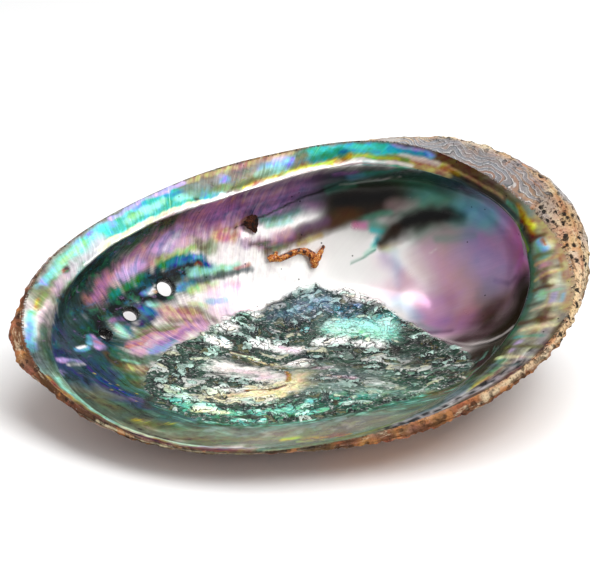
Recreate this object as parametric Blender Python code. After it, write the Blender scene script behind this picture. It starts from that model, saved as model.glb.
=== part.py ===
"""An abalone shell lying on its back, with its opening tipped towards the front (-Y).

The shell is worked out in its opening's frame, in millimetres: a runs along the shell towards the
spire, b across it towards the flat inner lip, and c out of the opening. Twelve stations round the
opening, every 30 degrees from the spire's end, hold the radius and depth of each edge of the bowl,
and smooth curves run between them. The inner and the outer face are each one grid, wrapped onto
the bowl and welded at the rim. Three open pores go through the wall, and two dried scraps are
stuck in the bowl.
"""
import math

import bmesh
import bpy
import numpy as np
from mathutils import Matrix, Vector, noise

MM = 0.001
NAME = "abalone_shell"
CELLS = 46                              # grid cells across each face
GAP = 0.3                               # between the nacre and what is stuck to it
WELD = 1e-5

# The opening's plane: how it tips to the front, how its spire end is raised, and its centre's
# place above the surface that the shell lies on.
TIP = math.radians(22.0)
ROLL = math.radians(3.0)
OPENING_CENTRE = Vector((-2.3, -3.1, 35.3))

# Stations round the opening, 0 at the spire's end, 90 at the inner lip, 270 at the outer lip.
# Inner face: the rim, the inner lip's edge, the wall behind it, and the foot of the wall.
#               0     30    60    90    120   150   180   210   240   270   300   330
RIM_RADIUS  = (80.0, 74.0, 69.0, 59.5, 57.8, 65.4, 79.2, 76.4, 68.2, 61.6, 62.2, 71.7)
EDGE_RADIUS = (67.5, 69.5, 62.0, 50.8, 47.5, 56.4, 69.8, 72.6, 65.8, 59.6, 58.6, 58.6)
EDGE_DEPTH  = ( 7.0,  6.0,  4.5,  4.0,  4.0,  3.8,  3.6,  1.8,  1.2,  1.0,  1.8,  7.5)
WALL_RADIUS = (70.5, 73.5, 66.5, 54.0, 50.0, 57.8, 69.4, 62.0, 52.0, 46.0, 47.0, 59.5)
WALL_DEPTH  = (15.0, 14.0, 13.5, 13.5, 12.5, 10.0,  8.0,  8.5,  9.0, 10.0, 11.0, 13.5)
FOOT_RADIUS = (56.0, 58.0, 50.0, 38.0, 34.0, 40.0, 46.0, 42.0, 34.0, 30.0, 32.0, 45.0)
FOOT_DEPTH  = (26.5, 30.5, 33.5, 33.5, 31.5, 26.5, 21.0, 18.0, 17.0, 17.0, 18.0, 21.5)
# Outer face: the crust's lip beyond the rim, the flank, and the edge of the underside.
LIP_OUT     = ( 3.2,  7.0,  3.0,  1.0,  1.6,  1.6,  2.2,  2.0,  0.8,  0.8,  2.6,  2.2)
LIP_DEPTH   = ( 0.5, -4.8, -1.4,  0.8,  1.0,  1.6,  1.2,  1.6,  1.7,  1.8,  3.0,  2.2)
FLANK_RADIUS = (84.5, 88.0, 74.0, 62.0, 59.5, 66.0, 77.8, 69.0, 57.5, 50.5, 53.0, 63.0)
FLANK_DEPTH = ( 8.0,  3.5,  8.0, 11.0, 11.0, 10.0,  9.0,  9.5, 10.0, 11.0, 11.5, 11.5)
UNDER_RADIUS = (64.0, 66.0, 57.0, 44.0, 39.5, 45.0, 51.0, 46.0, 38.0, 34.0, 36.0, 49.0)
UNDER_DEPTH = (29.0, 33.0, 36.0, 36.5, 34.5, 29.5, 24.5, 21.5, 20.5, 20.5, 21.5, 24.5)
INNER_MIDDLE_DEPTH = 33.5
OUTER_MIDDLE_DEPTH = 38.0
MIDDLE_SLOPE = Vector((-0.02, 0.35))    # how the middle deepens along a and b
INNER_SLOPE_SHARE = 0.92
WALL_SLOPE_SHARE = 0.75                 # slope at the foot of the wall, as a share of the wall's own

# Where each edge lies on the way out, 0 in the middle and 1 at the rim.
FOOT_SHARE = 0.50
INNER_SHARES = (0, .10, .20, .30, .40, FOOT_SHARE, .64, .80, .86, .92, 1.0)
UNDER_SHARE = 0.56
OUTER_SHARES = (0, .14, .28, .42, UNDER_SHARE, .72, .86, .95, 1.0)

# The muscle scar: its centre, its radius every 45 degrees from the spire's side, and its rise.
SCAR_CENTRE = Vector((2.0, 0.0))
SCAR_RADIUS = (50.0, 37.0, 36.5, 32.0, 43.0, 46.0, 31.5, 38.0)
SCAR_RISE = 0.9
SCAR_LUMP = 0.7
SCAR_LUMP_SIZE = 7.0

# The smooth hollow under the spire, and two creases in the far wall.
HOLLOW_CENTRE = Vector((52.0, 25.0))
HOLLOW_RADIUS = Vector((21.0, 27.0))
HOLLOW_DEPTH = 2.4
CREASES = (((-19.4, 43.7), (-6.5, 50.9), (13.0, 57.3)), ((25.4, 47.1), (32.1, 50.2), (41.8, 50.0), (49.5, 46.2)))
CREASE_WIDTH = 2.6
CREASE_DEPTH = 1.0

# Bumps on the inner lip round the spire's end, as a, b, radius and rise.
LIP_BUMPS = ((70.1, 22.1, 3.4, 1.2), (73.6, 13.7, 4.0, 1.0), (74.0, 4.5, 3.0, 0.7), (73.5, -1.2, 3.2, 1.2),
             (74.1, -8.8, 3.2, 0.8), (70.6, -15.0, 3.4, 1.1), (70.8, -22.6, 3.4, 0.9), (62.2, -28.0, 3.6, 0.9))

# Pores, as a and b on the inner face and radius, and for the first three, which are open, the way
# that each leans through the wall. The rest have grown shut.
OPEN_PORES = ((-42.2, 21.1, 2.5, (-0.12, 0.68, -0.72)), (-51.8, 7.7, 2.0, (-0.12, 0.68, -0.72)),
              (-58.0, -3.3, 2.0, (-0.40, 0.45, -0.80)))
SHUT_PORES = ((-33.0, 30.5, 3.0), (-60.2, -9.6, 2.6), (-64.2, -21.8, 2.4))
PORE_FUNNEL = 0.8
PORE_REACH = 9.0
PORE_SIDES = 14
PORE_WIDTHS = (1.15, 0.85)              # of the funnel's inner and outer end, beside its radius
PORE_SQUARENESS = 0.6                   # how far a pore turns to run straight through the wall
PORE_START = 2.0
SHUT_PORE_RISE = 0.7

# Growth on the outside: it winds round the apex, and each earlier lip is a smaller, turned rim.
APEX = Vector((45.0, -15.0))
WIND = 0.35                             # growth in size for each radian of winding
OLDEST = 7.0                            # radians of winding back to the tip of the spire
RIDGE_PITCH = 0.26                      # radians of winding from one growth ridge to the next
RIDGE_RISE = 0.9
SPIRE_RADIUS = 10.0
SPIRE_RISE = 3.2
NOTCH_ANGLE = math.radians(205.0)       # the newest pore's notch in the rim
TUBERCLE_PITCH = 0.17
TUBERCLE_RISE = 2.1
TUBERCLE_WIDTH = math.radians(4.5)

# Lime crust: how far it stands out, how big its lumps are, and two old barnacle scars on the lip.
CRUST_RISE = 1.1
CRUST_LUMP_SIZE = 9.0
CRUST_KNOBS = ((-80.0, -16.0, 7.0, 2.6), (-77.0, -27.0, 6.0, 1.7), (84.0, 38.0, 8.0, 1.0))

# Dried scraps: the long one's strand and its short tail, each point as a, b, lift and half
# thickness, and the chip's place, its half sizes and its turn.
SCRAP_STRAND = ((-10.9, 37.9, 0.0, 0.75), (-9.4, 38.0, 0.1, 1.05), (-7.6, 39.0, 0.1, 0.90), (-5.6, 40.3, 0.2, 0.95),
                (-3.3, 41.6, 0.2, 0.90), (-0.8, 42.5, 0.3, 0.95), (1.4, 42.8, 0.3, 1.05), (3.0, 42.0, 0.3, 1.25),
                (3.8, 40.9, 0.1, 1.25), (4.0, 39.9, 0.0, 0.85))
SCRAP_TAIL = ((3.2, 42.2, 0.5, 0.85), (4.6, 43.2, 0.7, 0.80), (5.8, 44.2, 0.6, 0.70), (6.6, 44.9, 0.3, 0.55))
CHIP_PLACE = (-15.5, 44.7)
CHIP_HALF = (2.1, 3.0, 0.55)
CHIP_ROUGHNESS = 0.25


def add_material(name, colour, roughness):
    """A plain material in the piece's own colour."""
    material = bpy.data.materials.new(name)
    material.use_nodes = True
    shader = material.node_tree.nodes["Principled BSDF"]
    shader.inputs["Base Color"].default_value = (*colour, 1.0)
    shader.inputs["Roughness"].default_value = roughness
    shader.inputs["Metallic"].default_value = 0.0
    return material


def round_the_opening(stations, angle):
    """Value at each angle of the smoothest curve through evenly spaced stations."""
    waves = np.fft.rfft(stations) / len(stations)
    order = np.arange(len(waves))
    weight = np.where((order == 0) | (order == len(stations) // 2), 1.0, 2.0)
    return np.real(np.exp(1j * np.multiply.outer(angle, order)) @ (waves * weight))


def through(rows, place):
    """Smooth curve through rows of points, which doesn't overshoot them; place counts the rows."""
    step = np.diff(rows, axis=0)
    before, after = step[:-1], step[1:]
    same_way = before * after > 0
    middle = np.where(same_way, 2 * before * after / np.where(same_way, before + after, 1), 0)
    slope = np.concatenate([step[:1], middle, step[-1:]])
    row = np.clip(place.astype(int), 0, len(rows) - 2)
    f = (place - row)[:, None]
    each = np.arange(len(place))
    return (rows[row, each] * (2 * f**3 - 3 * f**2 + 1) + rows[row + 1, each] * (3 * f**2 - 2 * f**3)
            + slope[row, each] * (f**3 - 2 * f**2 + f) + slope[row + 1, each] * (f**3 - f**2))


def floor_rows(middle, slope, radius, depth, wall_slope, count):
    """Radius and height from the middle to the foot of the wall, in count even steps."""
    rows = []
    for f in np.linspace(0, 1, count):
        d = (middle * (2 * f**3 - 3 * f**2 + 1) + depth * (3 * f**2 - 2 * f**3)
             + radius * slope * (f**3 - 2 * f**2 + f) + radius * wall_slope * (f**3 - f**2))
        rows.append((radius * f, -d))
    return rows


def face_points(angle, share, inner):
    """Points a, b, c of the inner or outer face, before any relief."""
    rim = round_the_opening(RIM_RADIUS, angle)
    slope = MIDDLE_SLOPE.x * np.cos(angle) + MIDDLE_SLOPE.y * np.sin(angle)
    if inner:
        edge_r, edge_d = (round_the_opening(s, angle) for s in (EDGE_RADIUS, EDGE_DEPTH))
        wall_r, wall_d = (round_the_opening(s, angle) for s in (WALL_RADIUS, WALL_DEPTH))
        foot_r, foot_d = (round_the_opening(s, angle) for s in (FOOT_RADIUS, FOOT_DEPTH))
        wall_slope = WALL_SLOPE_SHARE * (wall_d - foot_d) / (wall_r - foot_r)
        rows = floor_rows(INNER_MIDDLE_DEPTH, slope * INNER_SLOPE_SHARE, foot_r, foot_d, wall_slope, 6)
        rows += [(foot_r + 0.60 * (wall_r - foot_r), -0.5 * (foot_d + wall_d)), (wall_r, -wall_d),
                 (edge_r, -edge_d), (edge_r + 0.22 * (rim - edge_r), -0.66 * edge_d), (rim, 0 * rim)]
        shares = INNER_SHARES
    else:
        lip_r, lip_d = rim + round_the_opening(LIP_OUT, angle), round_the_opening(LIP_DEPTH, angle)
        flank_r, flank_d = (round_the_opening(s, angle) for s in (FLANK_RADIUS, FLANK_DEPTH))
        under_r, under_d = (round_the_opening(s, angle) for s in (UNDER_RADIUS, UNDER_DEPTH))
        wall_slope = WALL_SLOPE_SHARE * (flank_d - under_d) / (flank_r - under_r)
        rows = floor_rows(OUTER_MIDDLE_DEPTH, slope, under_r, under_d, wall_slope, 5)
        rows += [(under_r + 0.62 * (flank_r - under_r), -0.5 * (under_d + flank_d)), (flank_r, -flank_d),
                 (lip_r, -lip_d), (rim, 0 * rim)]
        shares = OUTER_SHARES
    table = np.array([[r + 0 * rim, h + 0 * rim] for r, h in rows]).transpose(0, 2, 1)
    radius, height = through(table, np.interp(share, shares, np.arange(len(shares)))).T
    return np.stack([radius * np.cos(angle), radius * np.sin(angle), height], axis=1)


def fade(value, start, end):
    """0 below start and 1 above end, with an even curve between."""
    f = np.clip((value - start) / (end - start), 0, 1)
    return f * f * (3 - 2 * f)


def bump(a, b, centre_a, centre_b, radius):
    """Round hill 1 high that is gone at about twice its radius."""
    return np.exp(-((a - centre_a) ** 2 + (b - centre_b) ** 2) / radius**2)


def lumps(points, size, seed):
    """Smooth noise from -1 to 1 with lumps of about the given size."""
    shift = Vector((seed * 13.1, seed * 7.7, seed * 3.3))
    return np.array([noise.noise(Vector(p) / size + shift) for p in points])


def from_line(a, b, line):
    """Distance of each point from a line of straight stretches."""
    nearest = np.full(len(a), np.inf)
    for (a0, b0), (a1, b1) in zip(line, line[1:]):
        run = np.clip(((a - a0) * (a1 - a0) + (b - b0) * (b1 - b0)) / ((a1 - a0) ** 2 + (b1 - b0) ** 2), 0, 1)
        nearest = np.minimum(nearest, np.hypot(a - a0 - run * (a1 - a0), b - b0 - run * (b1 - b0)))
    return nearest


def inner_relief(points, share):
    """Rise of the inner face towards the opening, in mm."""
    a, b, _ = points.T
    scar_a, scar_b = a - SCAR_CENTRE.x, b - SCAR_CENTRE.y
    scar_edge = round_the_opening(SCAR_RADIUS, np.arctan2(scar_b, scar_a))
    scar = fade(scar_edge - np.hypot(scar_a, scar_b), -1.0, 3.0)
    rise = scar * (SCAR_RISE + SCAR_LUMP * lumps(points, SCAR_LUMP_SIZE, 1))
    hollow = np.hypot((a - HOLLOW_CENTRE.x) / HOLLOW_RADIUS.x, (b - HOLLOW_CENTRE.y) / HOLLOW_RADIUS.y)
    rise -= HOLLOW_DEPTH * fade(1 - hollow, 0.0, 0.5) * (1 - scar)
    for line in CREASES:
        rise -= CREASE_DEPTH * np.exp(-(from_line(a, b, line) / CREASE_WIDTH) ** 2)
    for centre_a, centre_b, radius, _ in OPEN_PORES:
        rise -= PORE_FUNNEL * bump(a, b, centre_a, centre_b, 1.6 * radius)
    for centre_a, centre_b, radius in SHUT_PORES:
        rise += SHUT_PORE_RISE * bump(a, b, centre_a, centre_b, radius)
    for centre_a, centre_b, radius, height in LIP_BUMPS:
        rise += height * bump(a, b, centre_a, centre_b, radius)
    return rise * (1 - fade(share, 0.93, 1.0))


def winding(points):
    """Radians of growth between each point of the outside and the rim, and the rim's angle there."""
    from_apex = (points[:, 0] - APEX.x) + 1j * (points[:, 1] - APEX.y)
    age = np.full(len(points), OLDEST)
    rim_angle = np.zeros(len(points))
    found = np.zeros(len(points), dtype=bool)
    last_over = None
    step = 0.05
    for back in np.arange(0, OLDEST, step):
        spot = from_apex * np.exp((WIND + 1j) * back) + complex(*APEX)
        over = np.abs(spot) - round_the_opening(RIM_RADIUS, np.angle(spot))
        if last_over is None:
            last_over = over - step
        now = (over >= 0) & ~found
        share = np.where(now, -last_over / np.where(now, over - last_over, 1), 0)
        age = np.where(now, np.maximum(back - step + step * share, 0), age)
        rim_angle = np.where(now, np.angle(spot), rim_angle)
        found |= now
        last_over = over
    return age, rim_angle


def outer_relief(points, share):
    """Rise of the outer face away from the shell, in mm."""
    a, b, _ = points.T
    age, rim_angle = winding(points)
    wobble = 0.35 * lumps(points, 24.0, 2)
    ridge = 0.5 + 0.5 * np.cos(2 * np.pi * (age / RIDGE_PITCH + wobble))
    rise = RIDGE_RISE * ridge * fade(age, 0.05, 0.5)
    rise += SPIRE_RISE * bump(a, b, APEX.x, APEX.y, SPIRE_RADIUS)
    off_row = (rim_angle - NOTCH_ANGLE + np.pi) % (2 * np.pi) - np.pi
    in_row = np.exp(-(off_row / TUBERCLE_WIDTH) ** 2)
    rise += TUBERCLE_RISE * in_row * (0.55 - 0.45 * np.cos(2 * np.pi * age / TUBERCLE_PITCH)) * fade(age, 0.1, 0.6)
    spire_end = fade(np.cos(np.arctan2(b, a) - math.radians(20.0)), 0.45, 0.9)
    growing_end = fade(np.cos(np.arctan2(b, a) - math.radians(198.0)), 0.75, 0.95)
    crust = 0.35 + 0.65 * np.maximum(spire_end, growing_end)
    rise += CRUST_RISE * crust * (0.5 + 0.5 * lumps(points, CRUST_LUMP_SIZE, 3)) * fade(share, 0.3, 0.6)
    for centre_a, centre_b, radius, height in CRUST_KNOBS:
        rise += height * bump(a, b, centre_a, centre_b, radius)
    return rise * (1 - fade(share, 0.94, 1.0))


def to_world():
    """Matrix from the opening's frame in millimetres to the world in metres."""
    tipped = Matrix.Rotation(TIP, 4, "X") @ Matrix.Rotation(-ROLL, 4, "Y")
    return Matrix.Scale(MM, 4) @ Matrix.Translation(OPENING_CENTRE) @ tipped


def add_face(shell, rise_layer, inner):
    """One grid wrapped onto the inner or outer face, with its relief kept for later."""
    known = set(shell.verts)
    bmesh.ops.create_grid(shell, x_segments=CELLS, y_segments=CELLS, size=1.0)
    fresh = [v for v in shell.verts if v not in known]
    x, y = np.array([v.co.xy for v in fresh]).T
    across, up = x * np.sqrt(1 - y * y / 2), y * np.sqrt(1 - x * x / 2)
    angle, share = np.arctan2(up, across), np.minimum(np.hypot(across, up), 1.0)
    points = face_points(angle, share, inner)
    rise = inner_relief(points, share) if inner else outer_relief(points, share)
    for vert, point, height in zip(fresh, points, rise):
        vert.co = point
        vert[rise_layer] = height
    if not inner:
        bmesh.ops.reverse_faces(shell, faces=[f for f in shell.faces if f.verts[0] not in known])


def build_shell(collection):
    """The shell as one solid, in world coordinates, worn flat where it rests."""
    shell = bmesh.new()
    rise_layer = shell.verts.layers.float.new("rise")
    add_face(shell, rise_layer, inner=True)
    add_face(shell, rise_layer, inner=False)
    bmesh.ops.remove_doubles(shell, verts=shell.verts, dist=0.01)
    shell.normal_update()
    for vert, normal in [(v, v.normal.copy()) for v in shell.verts]:
        vert.co += normal * vert[rise_layer]
    shell.transform(to_world())
    for vert in shell.verts:
        vert.co.z = max(vert.co.z, 0.0)
    bmesh.ops.triangulate(shell, faces=shell.faces, quad_method="SHORT_EDGE")
    mesh = bpy.data.meshes.new("shell")
    shell.to_mesh(mesh)
    shell.free()
    mesh.shade_smooth()
    mesh.materials.append(add_material("shell", (0.50, 0.62, 0.58), 0.3))
    body = bpy.data.objects.new("shell", mesh)
    collection.objects.link(body)
    return body


def on_inner_face(a, b):
    """Point of the inner face's floor or wall above a and b, and its normal."""
    def at(angle, radius):
        low, high = 0.0, 0.80
        for _ in range(30):
            share = (low + high) / 2
            point = face_points(np.array([angle]), np.array([share]), True)[0]
            low, high = (share, high) if math.hypot(point[0], point[1]) < radius else (low, share)
        return Vector(point)
    angle, radius = math.atan2(b, a), math.hypot(a, b)
    here = at(angle, radius)
    outward = at(angle, radius + 0.5) - here
    onward = at(angle + 0.01, radius) - here
    return here, outward.cross(onward).normalized()


def cut_pores(body, cutters):
    """Three funnels through the wall, wider inside."""
    world = to_world()
    for number, (a, b, radius, lean) in enumerate(OPEN_PORES, 1):
        place, normal = on_inner_face(a, b)
        axis = (Vector(lean) - PORE_SQUARENESS * normal).normalized()
        inner, outer = (width * radius for width in PORE_WIDTHS)
        funnel = bmesh.new()
        bmesh.ops.create_cone(funnel, cap_ends=True, segments=PORE_SIDES, radius1=inner, radius2=outer,
                              depth=2 * PORE_REACH)
        turned = axis.to_track_quat("Z", "Y").to_matrix().to_4x4()
        funnel.transform(world @ Matrix.Translation(place + axis * PORE_START) @ turned)
        mesh = bpy.data.meshes.new(f"pore_{number}")
        funnel.to_mesh(mesh)
        funnel.free()
        cutter = bpy.data.objects.new(f"pore_{number}", mesh)
        cutter.hide_render = True
        cutter.display_type = "WIRE"
        cutters.objects.link(cutter)
        cut = body.modifiers.new(f"pore_{number}", "BOOLEAN")
        cut.operation = "DIFFERENCE"
        cut.solver = "EXACT"
        cut.object = cutter


def build_strand(points, material):
    """A strand along points on the inner face, as a mesh with welded caps."""
    strand = bpy.data.curves.new("strand", "CURVE")
    strand.dimensions = "3D"
    strand.bevel_depth = MM
    strand.bevel_resolution = 1
    strand.use_fill_caps = True
    line = strand.splines.new("POLY")
    line.points.add(len(points) - 1)
    world = to_world()
    for point, (a, b, lift, half) in zip(line.points, points):
        place, normal = on_inner_face(a, b)
        point.co = (*(world @ (place + normal * (GAP + half + lift))), 1.0)
        point.radius = half
    guide = bpy.data.objects.new("strand", strand)
    bpy.context.scene.collection.objects.link(guide)
    mesh = bpy.data.meshes.new_from_object(guide.evaluated_get(bpy.context.evaluated_depsgraph_get()))
    bpy.data.objects.remove(guide)
    welded = bmesh.new()
    welded.from_mesh(mesh)
    bmesh.ops.remove_doubles(welded, verts=welded.verts, dist=WELD)
    welded.to_mesh(mesh)
    welded.free()
    mesh.materials.clear()
    mesh.materials.append(material)
    mesh.shade_smooth()
    return mesh


def build_long_scrap(parts, cutters, material):
    """The long curled scrap: a strand that ends in a hook, joined with its tail."""
    scrap = bpy.data.objects.new("dried_scrap_long", build_strand(SCRAP_STRAND, material))
    parts.objects.link(scrap)
    tail = bpy.data.objects.new("scrap_tail", build_strand(SCRAP_TAIL, material))
    tail.hide_render = True
    tail.display_type = "WIRE"
    cutters.objects.link(tail)
    join = scrap.modifiers.new("tail", "BOOLEAN")
    join.operation = "UNION"
    join.solver = "EXACT"
    join.object = tail


def build_chip(collection, material):
    """The small chip, a flat flake with a broken edge."""
    flake = bmesh.new()
    bmesh.ops.create_icosphere(flake, subdivisions=2, radius=1.0)
    for vert in flake.verts:
        vert.co *= 1 + CHIP_ROUGHNESS * noise.noise(vert.co * 1.4)
    place, normal = on_inner_face(*CHIP_PLACE)
    turned = normal.to_track_quat("Z", "Y").to_matrix().to_4x4()
    lift = GAP + 1.6 * CHIP_HALF[2]
    flake.transform(to_world() @ Matrix.Translation(place + normal * lift) @ turned @ Matrix.Diagonal((*CHIP_HALF, 1.0)))
    mesh = bpy.data.meshes.new("dried_scrap_chip")
    flake.to_mesh(mesh)
    flake.free()
    mesh.shade_smooth()
    mesh.materials.append(material)
    collection.objects.link(bpy.data.objects.new("dried_scrap_chip", mesh))


for old in list(bpy.data.objects):
    bpy.data.objects.remove(old)
parts = bpy.data.collections.new(NAME)
cutters = bpy.data.collections.new("pore_cutters")
bpy.context.scene.collection.children.link(parts)
bpy.context.scene.collection.children.link(cutters)
shell = build_shell(parts)
cut_pores(shell, cutters)
tissue = add_material("dried_tissue", (0.30, 0.10, 0.03), 0.35)
build_long_scrap(parts, cutters, tissue)
build_chip(parts, tissue)
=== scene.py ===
import math

import bmesh
import bpy
import numpy as np
from mathutils import Matrix, Vector, noise


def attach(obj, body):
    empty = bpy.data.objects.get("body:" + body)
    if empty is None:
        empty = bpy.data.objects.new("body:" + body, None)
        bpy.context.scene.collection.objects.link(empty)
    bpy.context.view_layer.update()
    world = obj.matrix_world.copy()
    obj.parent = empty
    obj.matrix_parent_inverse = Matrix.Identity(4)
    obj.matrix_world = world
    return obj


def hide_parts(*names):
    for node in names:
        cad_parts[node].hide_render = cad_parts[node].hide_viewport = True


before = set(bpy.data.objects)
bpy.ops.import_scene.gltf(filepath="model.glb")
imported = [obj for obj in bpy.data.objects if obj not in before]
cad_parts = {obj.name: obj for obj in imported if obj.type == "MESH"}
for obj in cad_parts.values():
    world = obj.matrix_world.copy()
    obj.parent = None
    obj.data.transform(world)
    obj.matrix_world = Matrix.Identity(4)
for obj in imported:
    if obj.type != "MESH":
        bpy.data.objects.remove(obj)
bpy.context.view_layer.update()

# The shell is one piece of nacre with a lime crust, which the animal laid down at its growing lip.
# It is worked out in its opening's own millimetres: a runs towards the spire, b across towards the
# flat inner lip, and c out of the opening, with stations round the opening every 30 degrees.
MM = 0.001
TIP = math.radians(22.0)                # how the opening tips to the front
ROLL = math.radians(3.0)
OPENING_CENTRE = Vector((-2.3, -3.1, 35.3))
#               0     30    60    90    120   150   180   210   240   270   300   330
RIM_RADIUS  = (80.0, 74.0, 69.0, 59.5, 57.8, 65.4, 79.2, 76.4, 68.2, 61.6, 62.2, 71.7)
EDGE_RADIUS = (67.5, 69.5, 62.0, 50.8, 47.5, 56.4, 69.8, 72.6, 65.8, 59.6, 58.6, 58.6)
EDGE_DEPTH  = ( 7.0,  6.0,  4.5,  4.0,  4.0,  3.8,  3.6,  1.8,  1.2,  1.0,  1.8,  7.5)
WALL_RADIUS = (70.5, 73.5, 66.5, 54.0, 50.0, 57.8, 69.4, 62.0, 52.0, 46.0, 47.0, 59.5)
WALL_DEPTH  = (15.0, 14.0, 13.5, 13.5, 12.5, 10.0,  8.0,  8.5,  9.0, 10.0, 11.0, 13.5)
FOOT_RADIUS = (56.0, 58.0, 50.0, 38.0, 34.0, 40.0, 46.0, 42.0, 34.0, 30.0, 32.0, 45.0)
FOOT_DEPTH  = (26.5, 30.5, 33.5, 33.5, 31.5, 26.5, 21.0, 18.0, 17.0, 17.0, 18.0, 21.5)
LIP_OUT     = ( 3.2,  7.0,  3.0,  1.0,  1.6,  1.6,  2.2,  2.0,  0.8,  0.8,  2.6,  2.2)
LIP_DEPTH   = ( 0.5, -4.8, -1.4,  0.8,  1.0,  1.6,  1.2,  1.6,  1.7,  1.8,  3.0,  2.2)
FLANK_RADIUS = (84.5, 88.0, 74.0, 62.0, 59.5, 66.0, 77.8, 69.0, 57.5, 50.5, 53.0, 63.0)
FLANK_DEPTH = ( 8.0,  3.5,  8.0, 11.0, 11.0, 10.0,  9.0,  9.5, 10.0, 11.0, 11.5, 11.5)
UNDER_RADIUS = (64.0, 66.0, 57.0, 44.0, 39.5, 45.0, 51.0, 46.0, 38.0, 34.0, 36.0, 49.0)
UNDER_DEPTH = (29.0, 33.0, 36.0, 36.5, 34.5, 29.5, 24.5, 21.5, 20.5, 20.5, 21.5, 24.5)
INNER_MIDDLE_DEPTH = 33.5
OUTER_MIDDLE_DEPTH = 38.0
MIDDLE_SLOPE = Vector((-0.02, 0.35))    # how the middle deepens along a and b
INNER_SLOPE_SHARE = 0.92
WALL_SLOPE_SHARE = 0.75

# Where each edge lies on the way out, 0 in the middle and 1 at the rim.
INNER_SHARES = (0, .10, .20, .30, .40, .50, .64, .80, .86, .92, 1.0)
OUTER_SHARES = (0, .14, .28, .42, .56, .72, .86, .95, 1.0)
CELLS = 310                             # grid cells across each face


def round_the_opening(stations, angle):
    """Value at each angle of the smoothest curve through evenly spaced stations."""
    waves = np.fft.rfft(stations) / len(stations)
    order = np.arange(len(waves))
    weight = np.where((order == 0) | (order == len(stations) // 2), 1.0, 2.0)
    return np.real(np.exp(1j * np.multiply.outer(angle, order)) @ (waves * weight))


def through(rows, place):
    """Smooth curve through rows of points, which doesn't overshoot them; place counts the rows."""
    step = np.diff(rows, axis=0)
    before, after = step[:-1], step[1:]
    same_way = before * after > 0
    middle = np.where(same_way, 2 * before * after / np.where(same_way, before + after, 1), 0)
    slope = np.concatenate([step[:1], middle, step[-1:]])
    row = np.clip(place.astype(int), 0, len(rows) - 2)
    f = (place - row)[:, None]
    each = np.arange(len(place))
    return (rows[row, each] * (2 * f**3 - 3 * f**2 + 1) + rows[row + 1, each] * (3 * f**2 - 2 * f**3)
            + slope[row, each] * (f**3 - 2 * f**2 + f) + slope[row + 1, each] * (f**3 - f**2))


def floor_rows(middle, slope, radius, depth, wall_slope, count):
    """Radius and height from the middle to the foot of the wall, in count even steps."""
    rows = []
    for f in np.linspace(0, 1, count):
        d = (middle * (2 * f**3 - 3 * f**2 + 1) + depth * (3 * f**2 - 2 * f**3)
             + radius * slope * (f**3 - 2 * f**2 + f) + radius * wall_slope * (f**3 - f**2))
        rows.append((radius * f, -d))
    return rows


def face_points(angle, share, inner):
    """Points a, b, c of the inner or outer face, before any relief."""
    rim = round_the_opening(RIM_RADIUS, angle)
    slope = MIDDLE_SLOPE.x * np.cos(angle) + MIDDLE_SLOPE.y * np.sin(angle)
    if inner:
        edge_r, edge_d = (round_the_opening(s, angle) for s in (EDGE_RADIUS, EDGE_DEPTH))
        wall_r, wall_d = (round_the_opening(s, angle) for s in (WALL_RADIUS, WALL_DEPTH))
        foot_r, foot_d = (round_the_opening(s, angle) for s in (FOOT_RADIUS, FOOT_DEPTH))
        wall_slope = WALL_SLOPE_SHARE * (wall_d - foot_d) / (wall_r - foot_r)
        rows = floor_rows(INNER_MIDDLE_DEPTH, slope * INNER_SLOPE_SHARE, foot_r, foot_d, wall_slope, 6)
        rows += [(foot_r + 0.60 * (wall_r - foot_r), -0.5 * (foot_d + wall_d)), (wall_r, -wall_d),
                 (edge_r, -edge_d), (edge_r + 0.22 * (rim - edge_r), -0.66 * edge_d), (rim, 0 * rim)]
        shares = INNER_SHARES
    else:
        lip_r, lip_d = rim + round_the_opening(LIP_OUT, angle), round_the_opening(LIP_DEPTH, angle)
        flank_r, flank_d = (round_the_opening(s, angle) for s in (FLANK_RADIUS, FLANK_DEPTH))
        under_r, under_d = (round_the_opening(s, angle) for s in (UNDER_RADIUS, UNDER_DEPTH))
        wall_slope = WALL_SLOPE_SHARE * (flank_d - under_d) / (flank_r - under_r)
        rows = floor_rows(OUTER_MIDDLE_DEPTH, slope, under_r, under_d, wall_slope, 5)
        rows += [(under_r + 0.62 * (flank_r - under_r), -0.5 * (under_d + flank_d)), (flank_r, -flank_d),
                 (lip_r, -lip_d), (rim, 0 * rim)]
        shares = OUTER_SHARES
    table = np.array([[r + 0 * rim, h + 0 * rim] for r, h in rows]).transpose(0, 2, 1)
    radius, height = through(table, np.interp(share, shares, np.arange(len(shares)))).T
    return np.stack([radius * np.cos(angle), radius * np.sin(angle), height], axis=1)


def to_world():
    """Matrix from the opening's frame in millimetres to the world in metres."""
    tipped = Matrix.Rotation(TIP, 4, "X") @ Matrix.Rotation(-ROLL, 4, "Y")
    return Matrix.Scale(MM, 4) @ Matrix.Translation(OPENING_CENTRE) @ tipped


def fade(value, start, end):
    """0 below start and 1 above end, with an even curve between."""
    f = np.clip((value - start) / (end - start), 0, 1)
    return f * f * (3 - 2 * f)


def bump(a, b, centre_a, centre_b, radius):
    """Round hill 1 high that is gone at about twice its radius."""
    return np.exp(-((a - centre_a) ** 2 + (b - centre_b) ** 2) / radius**2)


def lumps(points, size, seed):
    """Smooth noise from -1 to 1 with lumps of about the given size, a number or one for each axis."""
    shift = Vector((seed * 13.1, seed * 7.7, seed * 3.3))
    return np.array([noise.noise(Vector(p) + shift) for p in points / size])


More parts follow.
